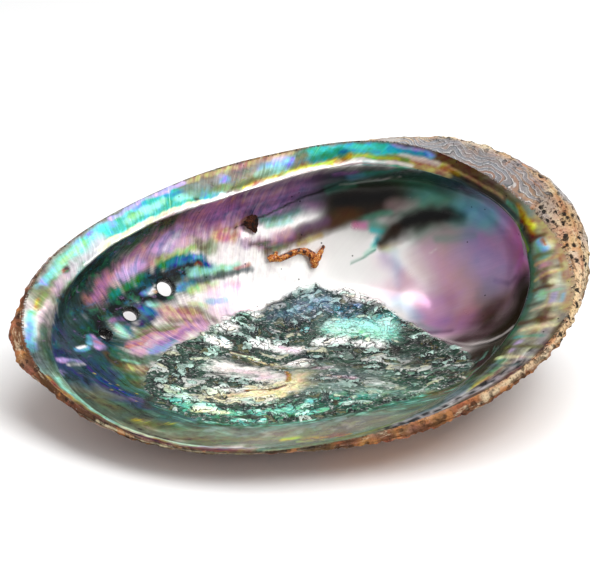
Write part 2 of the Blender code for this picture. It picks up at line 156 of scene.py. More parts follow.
def from_line(points, line):
    """Distance of each point from a line of straight stretches, in as many axes as both have."""
    nearest = np.full(len(points), np.inf)
    for start, end in zip(line, line[1:]):
        along = end - start
        run = np.clip((points - start) @ along / max(along @ along, 1e-9), 0, 1)
        nearest = np.minimum(nearest, np.linalg.norm(points - start - run[:, None] * along, axis=1))
    return nearest


# Relief of the inner face: the muscle scar, the smooth hollow under the spire, two creases in the
# far wall, bumps on the inner lip, and the row of pores, three of them open.
SCAR_CENTRE = Vector((2.0, 0.0))
# Stations of the scar's edge about its centre, every 22.5 degrees.
SCAR_RADIUS = (45.0, 37.5, 36.5, 37.0, 34.5, 30.0, 29.7, 33.0,
               38.5, 51.0, 54.5, 48.0, 43.0, 43.5, 44.5, 50.5)
SCAR_RISE = 0.9
PLATE_SIZE = np.array((10.0, 5.5, 6.0))  # along a, b and c
PLATE_STEPS = (3.6, 2.8)                # steps for each unit of the two fields that part the plates
PLATE_RISE = 0.9
GROOVE_WIDTH = 0.16                     # of a step
GROOVE_DEPTH = 0.35
HOLLOW_CENTRE = Vector((52.0, 25.0))
HOLLOW_RADIUS = Vector((21.0, 27.0))
HOLLOW_DEPTH = 2.4
CREASES = (((-19.4, 43.7), (-6.5, 50.9), (13.0, 57.3)),
           ((25.4, 47.1), (32.1, 50.2), (41.8, 50.0), (49.5, 46.2)))
CREASE_WIDTH = 2.6
CREASE_DEPTH = 1.0
LIP_BUMPS = ((70.1, 22.1, 3.4, 1.6), (73.6, 13.7, 4.0, 1.5), (74.0, 4.5, 3.0, 1.2),
             (73.5, -1.2, 3.2, 1.6), (74.1, -8.8, 3.2, 1.2), (70.6, -15.0, 3.4, 1.5),
             (70.8, -22.6, 3.4, 1.3), (62.2, -28.0, 3.6, 1.2))
OPEN_PORES = ((-42.2, 21.1, 2.8, (-0.12, 0.68, -0.72)), (-51.8, 7.7, 2.4, (-0.12, 0.68, -0.72)),
              (-58.0, -3.3, 2.1, (-0.40, 0.45, -0.80)))
SHUT_PORES = ((-33.0, 30.5, 3.0), (-60.2, -9.6, 2.6), (-64.2, -21.8, 2.4))
PORE_FUNNEL = 0.8
PORE_REACH = 9.0
PORE_SIDES = 40
PORE_WIDTHS = (1.15, 0.85)              # of the funnel's inner and outer end, beside its radius
PORE_SQUARENESS = 0.4                   # how far a pore turns to run straight through the wall
PORE_START = 2.0
SHUT_PORE_RISE = 0.7


def scar_cover(points):
    """1 on the muscle scar and 0 off it."""
    a, b = points[:, 0] - SCAR_CENTRE.x, points[:, 1] - SCAR_CENTRE.y
    edge = round_the_opening(SCAR_RADIUS, np.arctan2(b, a)) + 1.6 * lumps(points, 5.0, 11)
    edge += 0.7 * lumps(points, 2.0, 15)
    return fade(edge - np.hypot(a, b), -0.6, 1.2)


def plate_fields(points):
    """Two fields whose whole steps part the scar into plates, like layers that broke off."""
    bend = [2.2 * lumps(points, 8.0, 1 + i) + 0.7 * lumps(points, 2.5, 4 + i) for i in range(3)]
    bent = points + np.stack(bend, axis=1)
    return np.stack([steps * (lumps(bent, PLATE_SIZE, seed) + 0.45 * lumps(bent, PLATE_SIZE / 2.2, seed + 1)
                              + 0.12 * lumps(bent, PLATE_SIZE / 5, seed + 2))
                     for steps, seed in zip(PLATE_STEPS, (7, 12))], axis=1)


def plate_tone(fields):
    """A value from 0 to 1 for each plate, which looks random."""
    first, second = np.floor(fields).T
    return (97.3 * np.sin(12.99 * first + 78.23 * second)) % 1.0


def inner_relief(points, share, scar, calm, fields):
    """Rise of the inner face towards the opening, in mm."""
    a, b, _ = points.T
    groove = 1 - fade(fields % 1.0, 0.0, GROOVE_WIDTH).min(axis=1)
    plate = PLATE_RISE * (plate_tone(fields) - 0.5) - GROOVE_DEPTH * groove
    rise = scar * (SCAR_RISE + (1 - 0.7 * calm) * plate)
    hollow = np.hypot((a - HOLLOW_CENTRE.x) / HOLLOW_RADIUS.x, (b - HOLLOW_CENTRE.y) / HOLLOW_RADIUS.y)
    rise -= HOLLOW_DEPTH * fade(1 - hollow, 0.0, 0.5) * (1 - scar)
    for line in CREASES:
        away = from_line(points[:, :2], np.array(line))
        rise -= CREASE_DEPTH * np.exp(-(away / CREASE_WIDTH) ** 2)
    for centre_a, centre_b, radius, _ in OPEN_PORES:
        rise -= PORE_FUNNEL * bump(a, b, centre_a, centre_b, 1.6 * radius)
    for centre_a, centre_b, radius in SHUT_PORES:
        rise += SHUT_PORE_RISE * bump(a, b, centre_a, centre_b, radius)
    for centre_a, centre_b, radius, height in LIP_BUMPS:
        rise += height * bump(a, b, centre_a, centre_b, radius)
    rise += 0.12 * lumps(points, 7.0, 5) * (1 - scar)
    return rise * (1 - fade(share, 0.93, 1.0))


# Relief of the outside. It winds round the apex, and each earlier lip is a smaller, turned rim: so
# the growth ridges, the row of closed pores and the spire all follow the winding. Lime crust lies
# over it in uneven layers.
APEX = Vector((45.0, -15.0))
WIND = 0.35                             # growth in size for each radian of winding
OLDEST = 7.0                            # radians of winding back to the tip of the spire
RIDGE_PITCH = 0.26
RIDGE_RISE = 0.9
SPIRE_RADIUS = 10.0
SPIRE_RISE = 3.2
NOTCH_ANGLE = math.radians(205.0)
TUBERCLE_PITCH = 0.17
TUBERCLE_RISE = 2.1
TUBERCLE_WIDTH = math.radians(4.5)
CRUST_RISE = 1.1
CRUST_LUMP_SIZE = 9.0
CRUST_KNOBS = ((-80.0, -16.0, 7.0, 2.6), (-77.0, -27.0, 6.0, 1.7), (84.0, 38.0, 8.0, 1.0))
CRUST_GRIT = 0.5
ROUGH_EDGE = math.radians(322.0)         # where the crust is most broken
LAYER_STEP = 0.45


def winding(points):
    """Radians of growth between each point of the outside and the rim, and the rim's angle there."""
    from_apex = (points[:, 0] - APEX.x) + 1j * (points[:, 1] - APEX.y)
    age = np.full(len(points), OLDEST)
    rim_angle = np.zeros(len(points))
    found = np.zeros(len(points), dtype=bool)
    last_over = None
    step = 0.05
    for back in np.arange(0, OLDEST, step):
        spot = from_apex * np.exp((WIND + 1j) * back) + complex(*APEX)
        over = np.abs(spot) - round_the_opening(RIM_RADIUS, np.angle(spot))
        if last_over is None:
            last_over = over - step
        now = (over >= 0) & ~found
        share = np.where(now, -last_over / np.where(now, over - last_over, 1), 0)
        age = np.where(now, np.maximum(back - step + step * share, 0), age)
        rim_angle = np.where(now, np.angle(spot), rim_angle)
        found |= now
        last_over = over
    return age, rim_angle


def outer_relief(points, share, age, rim_angle):
    """Rise of the outer face away from the shell, in mm."""
    a, b, _ = points.T
    wobble = 0.35 * lumps(points, 24.0, 2)
    ridge = 0.5 + 0.5 * np.cos(2 * np.pi * (age / RIDGE_PITCH + wobble))
    rise = RIDGE_RISE * ridge * fade(age, 0.05, 0.5)
    rise += SPIRE_RISE * bump(a, b, APEX.x, APEX.y, SPIRE_RADIUS)
    off_row = (rim_angle - NOTCH_ANGLE + np.pi) % (2 * np.pi) - np.pi
    in_row = np.exp(-(off_row / TUBERCLE_WIDTH) ** 2)
    swell = 0.55 - 0.45 * np.cos(2 * np.pi * age / TUBERCLE_PITCH)
    rise += TUBERCLE_RISE * in_row * swell * fade(age, 0.1, 0.6)
    spire_end = fade(np.cos(np.arctan2(b, a) - math.radians(20.0)), 0.45, 0.9)
    growing_end = fade(np.cos(np.arctan2(b, a) - math.radians(198.0)), 0.75, 0.95)
    crust = 0.35 + 0.65 * np.maximum(spire_end, growing_end)
    rise += CRUST_RISE * crust * (0.5 + 0.5 * lumps(points, CRUST_LUMP_SIZE, 3)) * fade(share, 0.3, 0.6)
    for centre_a, centre_b, radius, height in CRUST_KNOBS:
        rise += height * bump(a, b, centre_a, centre_b, radius)
    layer = (share * 26.0 + 0.8 * lumps(points, 14.0, 6)) % 1.0
    rise -= LAYER_STEP * layer * fade(share, 0.62, 0.8)
    broken = 1 + 1.2 * fade(np.cos(np.arctan2(b, a) - ROUGH_EDGE), 0.7, 0.95)
    rise -= CRUST_GRIT * (1.7 - broken * (lumps(points, 3.0, 7) + 0.7 * lumps(points, 1.5, 8)))
    return rise * (1 - fade(share, 0.96, 1.0))


# Colours of the nacre, the scar and the crust, as red, green and blue out of 255.
WHITE = (255, 252, 250)
PEARL = (232, 224, 220)
CREAM = (235, 222, 180)
ROSE = (212, 146, 172)
PINK = (236, 188, 212)
MAGENTA = (238, 140, 205)
VIOLET = (176, 126, 190)
LILAC = (188, 172, 226)
MAUVE = (168, 112, 158)
PLUM = (108, 76, 106)
CORAL = (214, 130, 118)
TAUPE = (166, 142, 142)
STONE = (132, 124, 116)
OLIVE = (96, 92, 56)
MOSS = (104, 128, 66)
LIME = (176, 200, 90)
GOLD = (200, 170, 74)
RUST = (158, 92, 36)
BROWN = (82, 54, 34)
UMBER = (48, 38, 26)
INK = (16, 18, 22)
SLATE = (78, 90, 94)
NAVY = (46, 62, 88)
DEEP_TEAL = (34, 72, 74)
BOTTLE = (28, 62, 48)
FOREST = (58, 96, 72)
EMERALD = (40, 136, 84)
SEA = (80, 158, 136)
MINT = (160, 222, 200)
ICE = (196, 232, 220)
AQUA = (92, 208, 206)
TURQUOISE = (50, 168, 170)
SKY = (134, 190, 232)
PEACOCK = (20, 112, 152)
SAGE = (134, 160, 146)
GREY_GREEN = (104, 120, 112)
GREY_BLUE = (116, 132, 142)
STEEL = (138, 142, 150)
TAN = (198, 164, 122)
SAND = (224, 204, 170)
ORANGE = (212, 140, 84)
BRICK = (146, 84, 60)
CLAY = (160, 124, 108)
ASH = (156, 150, 152)
CHALK = (222, 218, 212)

# Marks on the inside, laid in order like brush strokes: colour, half width in mm, strength, and the
# line they follow. The line is drawn on a chart of the face, unrolled to a disc of radius 80.
CHART = 80.0
INNER_MARKS = (
    # the dark near wall, the wall between the hollow and the lip, and the left end
    (FOREST, 15, 1.0, (-58, -34), (-44, -48), (-22, -56), (0, -59), (22, -56), (42, -46), (56, -32)),
    (FOREST, 12, 1.0, (-52, -8), (-47, -22), (-44, -36)),
    (FOREST, 8, 1.0, (40, -30), (30, -36), (10, -44)),
    (OLIVE, 10, 0.95, (40, -24), (52, -14), (60, -4), (66, 8)),
    (UMBER, 8, 0.9, (36, -10), (44, -10), (52, -6), (60, 2)),
    (SLATE, 3.5, 0.6, (60, -20), (66, -8), (69, 4)),
    (OLIVE, 7.0, 1.0, (-52, -43), (-39, -55), (-23, -63), (-6, -67), (12, -67), (29, -61), (44, -52),
     (54, -41)),
    (FOREST, 3.0, 0.8, (-30, -61), (-6, -68), (12, -68), (30, -61), (46, -50)),
    (UMBER, 6.0, 0.95, (42, -8), (50, -16), (56, -26), (60, -36)),
    (OLIVE, 4.0, 0.8, (46, -28), (54, -38)),
    # the pale band of the far side and the floor behind the scar: pale nacre painted up to white as a
    # painted highlight
    (WHITE, 15, 1.0, (-22, 32), (-8, 38), (6, 38), (18, 34), (26, 27)),
    (PINK, 5, 0.5, (-28, 20), (-22, 28)),
    # the left wall under the lip, down to the notch
    (DEEP_TEAL, 15, 1.0, (-64, 20), (-60, 6), (-60, -8), (-64, -20), (-70, -32)),
    (BOTTLE, 9, 1.0, (-68, 14), (-63, 27), (-56, 37), (-50, 46), (-46, 52)),
    (FOREST, 4, 0.7, (-64, 22), (-57, 32), (-52, 38)),
    (NAVY, 10, 0.75, (-61, -11), (-64, -22), (-58, -30)),
    (SLATE, 6, 0.5, (-62, -2), (-60, -14)),
    (UMBER, 3.5, 0.7, (-57, 5), (-55, 10)),
    (BOTTLE, 4, 0.6, (-54, -2), (-53, -9)),
    (OLIVE, 2.8, 0.7, (-59, 38), (-53, 47), (-48, 52)),
    (BROWN, 2.2, 0.6, (-54, 41), (-49, 48)),
    (NAVY, 1.6, 0.7, (-67, 16), (-65, 23)),
    # the hair-streaked pink band
    (ROSE, 5.0, 0.85, (-53, 8), (-51, 17), (-49, 27), (-47, 38), (-44, 46), (-39, 51)),
    (PEARL, 2.5, 0.5, (-51, 13), (-50, 20)),
    (LILAC, 2.4, 0.8, (-51.5, 17), (-50, 25)),
    (LILAC, 3.4, 0.95, (-47.5, 33), (-45, 42)),
    (WHITE, 1.2, 0.45, (-46.5, 34), (-44.5, 42)),
    (PINK, 3.6, 0.85, (-41, 43), (-37, 50), (-35, 54)),
    (TAUPE, 1.6, 0.5, (-49, 28), (-47.5, 31)),
    (MAUVE, 2.2, 0.5, (-36, 49), (-31, 53)),
    # the far wall
    (MAUVE, 8.5, 0.95, (-39, 54), (-27, 59), (-14, 62), (0, 63), (8, 63)),
    (ROSE, 3.0, 0.6, (-42, 51), (-36, 56), (-30, 59)),
    (VIOLET, 2.8, 0.55, (-36, 55), (-28, 58)),
    (PINK, 1.6, 0.55, (-24, 61), (-10, 64), (0, 65)),
    (PLUM, 5.5, 0.9, (-3, 62), (5, 62), (12, 62), (18, 61)),
    (VIOLET, 4.5, 0.45, (-36, 55), (-14, 61), (0, 62.5)),
    (SLATE, 3.4, 0.75, (-16, 56.5), (-4, 58), (6, 58)),
    (VIOLET, 1.5, 0.5, (-17, 57.5), (-8, 59)),
    (SEA, 1.8, 0.55, (-14, 54.5), (-6, 55.5), (1, 56)),
    (MAUVE, 2.0, 0.5, (2, 56.5), (7, 56)),
    # a white painted highlight along the foot of the far wall
    (WHITE, 2.4, 0.95, (-20, 50), (-10, 52), (0, 53.2), (7, 53)),
    (MINT, 1.0, 0.7, (-12, 53.5), (-4, 54.3)),
    (PINK, 3.0, 0.7, (-27, 52), (-20, 53)),
    (CORAL, 2.2, 0.75, (-30, 47.5), (-26, 48.5)),
    (RUST, 0.8, 0.6, (-29, 50), (-24, 52.5), (-20, 55.5)),
    (MOSS, 2.4, 0.7, (-38, 40), (-35, 41.5), (-32, 43)),
    (OLIVE, 0.8, 0.6, (-37, 39.5), (-34, 42.5)),
    (DEEP_TEAL, 11, 0.95, (18, 59), (28, 56), (38, 53), (46, 49), (52, 45)),
    (BOTTLE, 6, 0.8, (20, 56), (32, 53), (42, 50)),
    (FOREST, 3, 0.6, (30, 55), (38, 52)),
    (NAVY, 5, 0.65, (46, 47), (53, 43), (58, 40)),
    (PLUM, 2.5, 0.55, (48, 44), (55, 41)),
    (SEA, 3.4, 0.55, (32, 46), (40, 43.5), (46, 40)),
    (SEA, 3.0, 0.4, (28, 43), (36, 43)),
    (SEA, 1.2, 0.7, (10, 60.5), (18, 59.5)),
    (VIOLET, 1.4, 0.75, (14, 64), (20, 63)),
    (SKY, 1.4, 0.6, (18, 62.5), (24, 61)),
    (SEA, 1.5, 0.75, (24, 61), (30, 59), (36, 58)),
    (PEARL, 0.35, 0.5, (14, 61), (20, 60), (27, 58), (32, 56.5)),
    # a dark band low in the far wall, painted shade
    (UMBER, 5.4, 1.0, (12, 56), (18, 55), (26, 52)),
    (UMBER, 3.4, 0.95, (11, 52.5), (18, 50), (24, 48)),
    (INK, 3.2, 0.85, (12.5, 56), (18, 54.5), (26, 52)),
    (TAUPE, 2.2, 0.6, (26, 47.5), (31, 45.5)),
    # a thin dark line along the upper crease, painted shade in it
    (INK, 0.35, 0.9, (-26, 51), (-16.5, 55.5), (-4, 60), (3, 60.8), (10, 61.2), (15, 61.6)),
    (SEA, 1.0, 0.5, (17, 47.4), (25, 45.4)),
    # brown streaks between the far wall and the pale band, and the specks by them
    (BROWN, 2.6, 0.95, (-13, 46.6), (-4, 49), (3, 49.5), (10, 49.5), (16, 49)),
    (PLUM, 1.6, 0.75, (0, 51), (8, 51)),
    (MAUVE, 1.8, 0.55, (-21, 46.5), (-12, 48.5), (-4, 50)),
    (BROWN, 0.9, 0.7, (-19, 47), (-12, 48.5)),
    (OLIVE, 1.4, 0.7, (-12, 45.8), (-6, 47.2)),
    (PINK, 1.6, 0.6, (-10, 50.4), (-5, 51)),
    (GOLD, 1.0, 0.6, (-1, 47.2), (6, 47.4)),
    (MAGENTA, 1.2, 0.7, (16, 46), (18.5, 45)),
    (SEA, 1.6, 0.8, (20.5, 44), (22.5, 41.5)), (AQUA, 0.8, 0.8, (20, 43), (22, 41)),
    (AQUA, 1.2, 0.9, (19.5, 38.5), (20.8, 40)),
    (LIME, 1.5, 0.85, (21.5, 36.2), (24, 35.4)),
    (CORAL, 1.0, 0.5, (21, 37.3), (25, 36)),
    (SEA, 0.45, 0.9, (13.5, 36.7), (16.5, 36.3), (19.5, 37)),
    (MINT, 0.8, 0.6, (17, 37), (19.5, 38)),
    # the smooth hollow under the spire
    # a white painted highlight down the hollow, and a pink painted highlight left of it
    (WHITE, 6, 1.0, (26, 33), (27, 28), (26, 22)),
    (PINK, 4, 0.75, (20, 31), (19, 28), (22, 25)),
    (LILAC, 2.6, 0.5, (21, 33), (23, 29)),
    (SKY, 1.6, 0.22, (23.5, 34), (23, 29), (22.5, 26)),
    (SAGE, 6.0, 0.95, (32, 36.5), (38, 32.5), (42, 29)),
    (SEA, 3.0, 0.5, (40, 31), (43, 28)),
    (ROSE, 10, 0.95, (34, 25), (38, 18), (37, 13)), (PEARL, 8, 0.35, (34, 26), (38, 19)),
    (TAUPE, 6, 0.4, (38, 20), (40, 15)),
    (PINK, 4.0, 0.65, (29, 30), (31, 24), (31, 18)),
    (MAUVE, 6.5, 0.7, (29, 16), (29, 11), (33, 9)), (PINK, 3.0, 0.5, (27, 18), (28, 13)),
    (VIOLET, 3.5, 0.55, (27, 17), (29, 12)),
    (LILAC, 5.0, 0.75, (44, 31), (46, 24), (47, 18)),
    (VIOLET, 7.5, 0.9, (50, 31), (50, 24), (51, 17), (49, 13)),
    (PINK, 5.5, 0.45, (49, 31), (49, 22), (48, 14)),
    (PINK, 2.6, 0.6, (42, 22), (45, 16)),
    (MAGENTA, 3.6, 0.8, (55, 32), (57, 27), (57, 21), (57, 16)),
    (PINK, 1.6, 0.7, (59, 31), (59, 26)),
    (AQUA, 3.4, 0.6, (40, 38), (45, 36), (49, 34)),
    (SKY, 3.4, 0.5, (44, 40), (50, 36), (53, 31)),
    (TAUPE, 4.5, 0.8, (41, 16), (46, 11), (50, 9)),
    (STONE, 3.5, 0.6, (40, 15), (39, 11)),
    # painted shadow in umber and brown at the hollow's foot and along its right side
    (UMBER, 6.5, 1.0, (39, 6), (44, 4), (49, 5), (53, 9)),
    (UMBER, 4.5, 1.0, (34, 3), (39, 1), (46, 0), (52, 2)),
    (BROWN, 3.0, 0.5, (37, 9), (43, 10)), (UMBER, 4.0, 0.9, (54, 13), (57, 8), (57, 2)),
    (STONE, 2.5, 0.35, (44, 6), (47, 7)),
    (SKY, 2.6, 0.35, (21.5, 21), (23, 18), (24.5, 14.5)),
    (GREY_BLUE, 1.6, 0.7, (25, 11.5), (28, 9)),
    (PLUM, 1.0, 0.7, (27, 9), (31, 8.4)),
    # a thin pale line along the hollow's lower edge, and painted shadow just under it
    (PEARL, 0.55, 0.85, (27, 7.5), (31, 4), (36, -0.6), (41, -2.2), (46, -2.2), (50, -1)),
    (INK, 0.5, 0.7, (28, 6.4), (32, 2.6), (37, -2), (43, -3.4), (49, -2.6)),
    # painted shadow: the soft dark band along the crease over the hollow
    (UMBER, 3.3, 1.0, (24.5, 39.8), (28, 40.4), (33, 40.6), (38, 39)),
    (UMBER, 1.8, 0.95, (21, 38.4), (25, 39.8)),
    (INK, 2.5, 0.9, (28, 40.8), (34, 40.8), (39, 38.8), (41, 37.2)),
    # the pleat that holds the pores; the ink strokes at the open pores are painted shade in their funnels
    (BOTTLE, 5.5, 0.95, (-54, -5), (-50, 4), (-46, 13), (-42, 22), (-38, 29)),
    (DEEP_TEAL, 3.5, 0.8, (-47, 2), (-43, 10), (-40, 17)),
    (LIME, 1.5, 0.7, (-46.5, 29), (-43, 33.5), (-39, 38)),
    (EMERALD, 1.8, 0.95, (-45, 27.5), (-42, 31.5), (-40, 34)),
    (PEACOCK, 2.2, 1.0, (-42.5, 29), (-38.5, 34), (-35, 35.5), (-33.5, 35)),
    (SKY, 0.9, 0.8, (-37.5, 35), (-35.5, 36)),
    (INK, 2.0, 1.0, (-43, 23.5), (-40.5, 27), (-37.5, 30), (-35.5, 33)),
    (RUST, 0.7, 0.6, (-36.5, 33), (-35, 34.5)),
    (AQUA, 1.0, 0.9, (-34.5, 32.5), (-33, 33.6)),
    (MINT, 1.8, 0.9, (-37, 28.8), (-33.5, 33), (-28, 37), (-24, 39.5)),
    (SLATE, 1.2, 0.9, (-40, 21.5), (-37, 25.5), (-34.7, 28.8), (-31, 32.9), (-25, 37.1), (-20, 40.6)),
    (PEACOCK, 1.0, 0.6, (-39, 22), (-36, 26.5)),
    (CORAL, 0.7, 0.6, (-25, 38.6), (-20, 41.6)),
    (LIME, 1.5, 0.5, (-36, 24), (-31, 30)),
    (PINK, 2.2, 0.6, (-31, 27), (-24, 32)),
    (SKY, 1.2, 0.6, (-31, 22), (-27, 26)),
    (DEEP_TEAL, 2.6, 1.0, (-50, 9), (-48, 14), (-46.5, 19), (-45, 23)),
    (EMERALD, 1.2, 0.7, (-51, 10), (-49, 16), (-47.5, 21)),
    (INK, 1.6, 0.9, (-49.5, 6), (-48, 11), (-46.5, 14)),
    (SKY, 1.1, 0.9, (-45, 15), (-44, 17.5)),
    (WHITE, 0.9, 0.9, (-44, 16), (-43.3, 19)),
    (CORAL, 0.6, 0.7, (-43.2, 17.5), (-42.6, 19)),
    (NAVY, 2.4, 1.0, (-44, 10), (-42, 7.5), (-42, 3)),
    (INK, 1.5, 0.9, (-45, 12.5), (-41.5, 16), (-39.5, 18)),
    (MINT, 1.5, 0.95, (-42.6, 11.6), (-40.5, 12.3)),
    (PEACOCK, 1.4, 0.8, (-43, 9.5), (-39.5, 9.5)),
    (INK, 2.3, 1.0, (-51, 1), (-50, -3), (-48.5, -5.5)),
    (VIOLET, 1.2, 0.6, (-48.5, 2), (-47, 4)),
    (MINT, 1.4, 1.0, (-47, 0.5), (-45.4, -2)),
    (PEACOCK, 1.3, 0.8, (-45.5, 1), (-43.7, -2)),
    (DEEP_TEAL, 2.0, 0.8, (-48, -6), (-45, -5)),
    (LILAC, 1.6, 0.85, (-52.5, -6.5), (-51, -9)),
    (CORAL, 0.7, 0.6, (-52, -8), (-50.6, -8)),
    (SKY, 1.0, 0.7, (-54, -6.5), (-54, -9)),
    (SKY, 1.1, 0.8, (-58.5, -13.5), (-54.6, -11)),
    (WHITE, 0.6, 0.8, (-58, -12.2), (-55.5, -10.6)),
    (LILAC, 1.1, 0.85, (-63.5, -23), (-60.5, -20)),
    (WHITE, 0.8, 0.7, (-62, -23.5), (-59.5, -20.5)),
    (LILAC, 1.6, 0.85, (-69.5, -32.5), (-66, -30)),
    (MINT, 1.6, 0.8, (-68, -34.5), (-64.5, -35.5)),
    (INK, 0.45, 0.9, (-62.5, -28), (-60, -30.5)),
    (INK, 0.5, 0.7, (-59.5, -16.5), (-58, -15.5)),
    # hair-streaked arcs right of the pleat
    (CORAL, 3.0, 0.55, (-39, 11), (-35, 13), (-31, 12)),
    (BROWN, 1.2, 0.6, (-37, 9), (-33, 10), (-29, 12.4)),
    (OLIVE, 1.6, 0.6, (-36, 15), (-31, 16), (-27, 15)),
    (TAN, 1.2, 0.6, (-38, 13), (-33, 14.5)),
    (LIME, 1.2, 0.45, (-35, 18), (-31, 19.5)),
    (MOSS, 2.2, 0.75, (-43, -2), (-40, 2), (-36, 6.5)),
    (ROSE, 2.0, 0.8, (-43.5, -5), (-40, -0.5), (-36, 4), (-32, 8)),
    (MOSS, 0.7, 0.7, (-44, -3), (-39, 2.5), (-34, 7)),
    (PINK, 2.4, 0.9, (-42, -8), (-38.4, -4.2), (-35, 0.5), (-32, 5.5), (-29, 10)),
    (SKY, 1.6, 0.75, (-39, -6.5), (-36, -3), (-34, 1)),
    (VIOLET, 1.1, 0.7, (-37, -2), (-33.5, 3), (-31, 7.5)),
    (CORAL, 0.8, 0.5, (-44.5, -6.5), (-41, -3)),
    (FOREST, 2.4, 0.85, (-46, -10), (-41, -11), (-37, -8)),
    (MINT, 0.7, 0.8, (-45.5, -12.2), (-42, -12.4)),
    (OLIVE, 4.0, 0.8, (-44.5, -16), (-41, -17), (-40.5, -21), (-43, -24)),
    (TAN, 1.8, 0.6, (-44, -15.4), (-41, -15.2)),
    (BROWN, 1.2, 0.9, (-49, -11), (-46.6, -14.6)),
    (INK, 0.6, 0.8, (-48.6, -11.2), (-46.8, -14.2)),
    # the blue-grey patch below the pleat, and the dark fold beside the scar
    (NAVY, 7.0, 0.9, (-57, -24), (-54, -32), (-50, -38)),
    (SLATE, 4.0, 0.6, (-58, -33), (-53, -38)),
    (PEACOCK, 1.2, 0.35, (-56, -26), (-50, -35)),
    (VIOLET, 1.6, 0.3, (-50, -37), (-47, -38)),
    (FOREST, 4.0, 0.8, (-47, -24), (-44, -29)),
    (BROWN, 1.2, 0.7, (-40, -23), (-39.5, -29.5), (-42, -34)),
    (UMBER, 1.6, 0.9, (-41, -31), (-45.4, -36), (-47, -42)),
    (DEEP_TEAL, 3.0, 0.9, (-43.5, -38), (-42, -43), (-38, -46)),
    (GREY_GREEN, 1.2, 0.5, (-42, -42), (-39, -43)),
    # the near wall, streaked along the outer lip
    (OLIVE, 9.0, 0.95, (-57, -42), (-48, -49), (-34, -57), (-18, -62), (0, -64), (18, -62), (34, -57),
     (46, -50), (56, -38)),
    (FOREST, 3.0, 0.8, (22, -53), (34, -48), (44, -40), (52, -30)),
    (DEEP_TEAL, 2.0, 0.7, (24, -60), (38, -55), (48, -47), (58, -35)),
    (DEEP_TEAL, 4.0, 0.6, (-58, -38), (-50, -45), (-36, -53), (-20, -58)),
    (FOREST, 4.5, 0.75, (-30, -55), (-12, -60), (8, -61), (26, -57)),
    (SLATE, 1.6, 0.6, (-20, -62.5), (4, -64.5), (24, -61)),
    (BOTTLE, 1.2, 0.6, (-40, -53), (-22, -60), (0, -63), (20, -61)),
    (GOLD, 0.9, 0.7, (-46, -48.3), (-43.4, -50.2)),
    (GOLD, 0.6, 0.5, (-40, -52), (-38, -53)),
    (GOLD, 1.0, 0.8, (-5, -66.4), (4, -67), (11, -66.8)),
    (RUST, 1.2, 0.85, (11, -66.6), (16, -66)),
    # dark foot of the hollow, and soft painted highlights and lines inside it
    (UMBER, 4.5, 1.0, (38, -7), (46, -12), (54, -18)), (OLIVE, 2.5, 0.6, (44, -16), (52, -24)),
    (PINK, 2.6, 0.6, (24, 27), (26, 20), (29, 15)), (PEARL, 3.0, 0.4, (27, 31), (28, 25)),
    (PLUM, 0.8, 0.6, (43, 17), (47, 15), (51, 15.5)), (SEA, 1.2, 0.4, (33, 33), (38, 31.5), (42, 31)),
    (PEARL, 0.25, 0.5, (30, 30), (32, 30.8)), (LILAC, 5.0, 0.5, (38, 27), (42, 22), (43, 17)),
    (SAGE, 3.0, 0.4, (-48, -52), (-20, -62), (10, -64), (36, -56)),
    (SAGE, 1.0, 0.5, (-30, -58), (0, -62)),
    # a white painted highlight on the pale wall beside the hollow
    (WHITE, 5.0, 0.9, (14, 33), (19, 30)),
    (LIME, 0.6, 0.5, (0, -67.6), (8, -67.6)),
)

# Gold specks in the blue patch under the pores.
SPECKS = ((-57, -24), (-54, -28), (-52, -31), (-49, -35), (-55, -33), (-58, -29), (-51, -27),
          (-47, -31), (-60, -26), (-53, -36), (-50, -39), (-56, -38))
INNER_MARKS += tuple((GOLD, 0.22, 0.8, (p, q), (p + 0.3, q - 0.1)) for p, q in SPECKS)

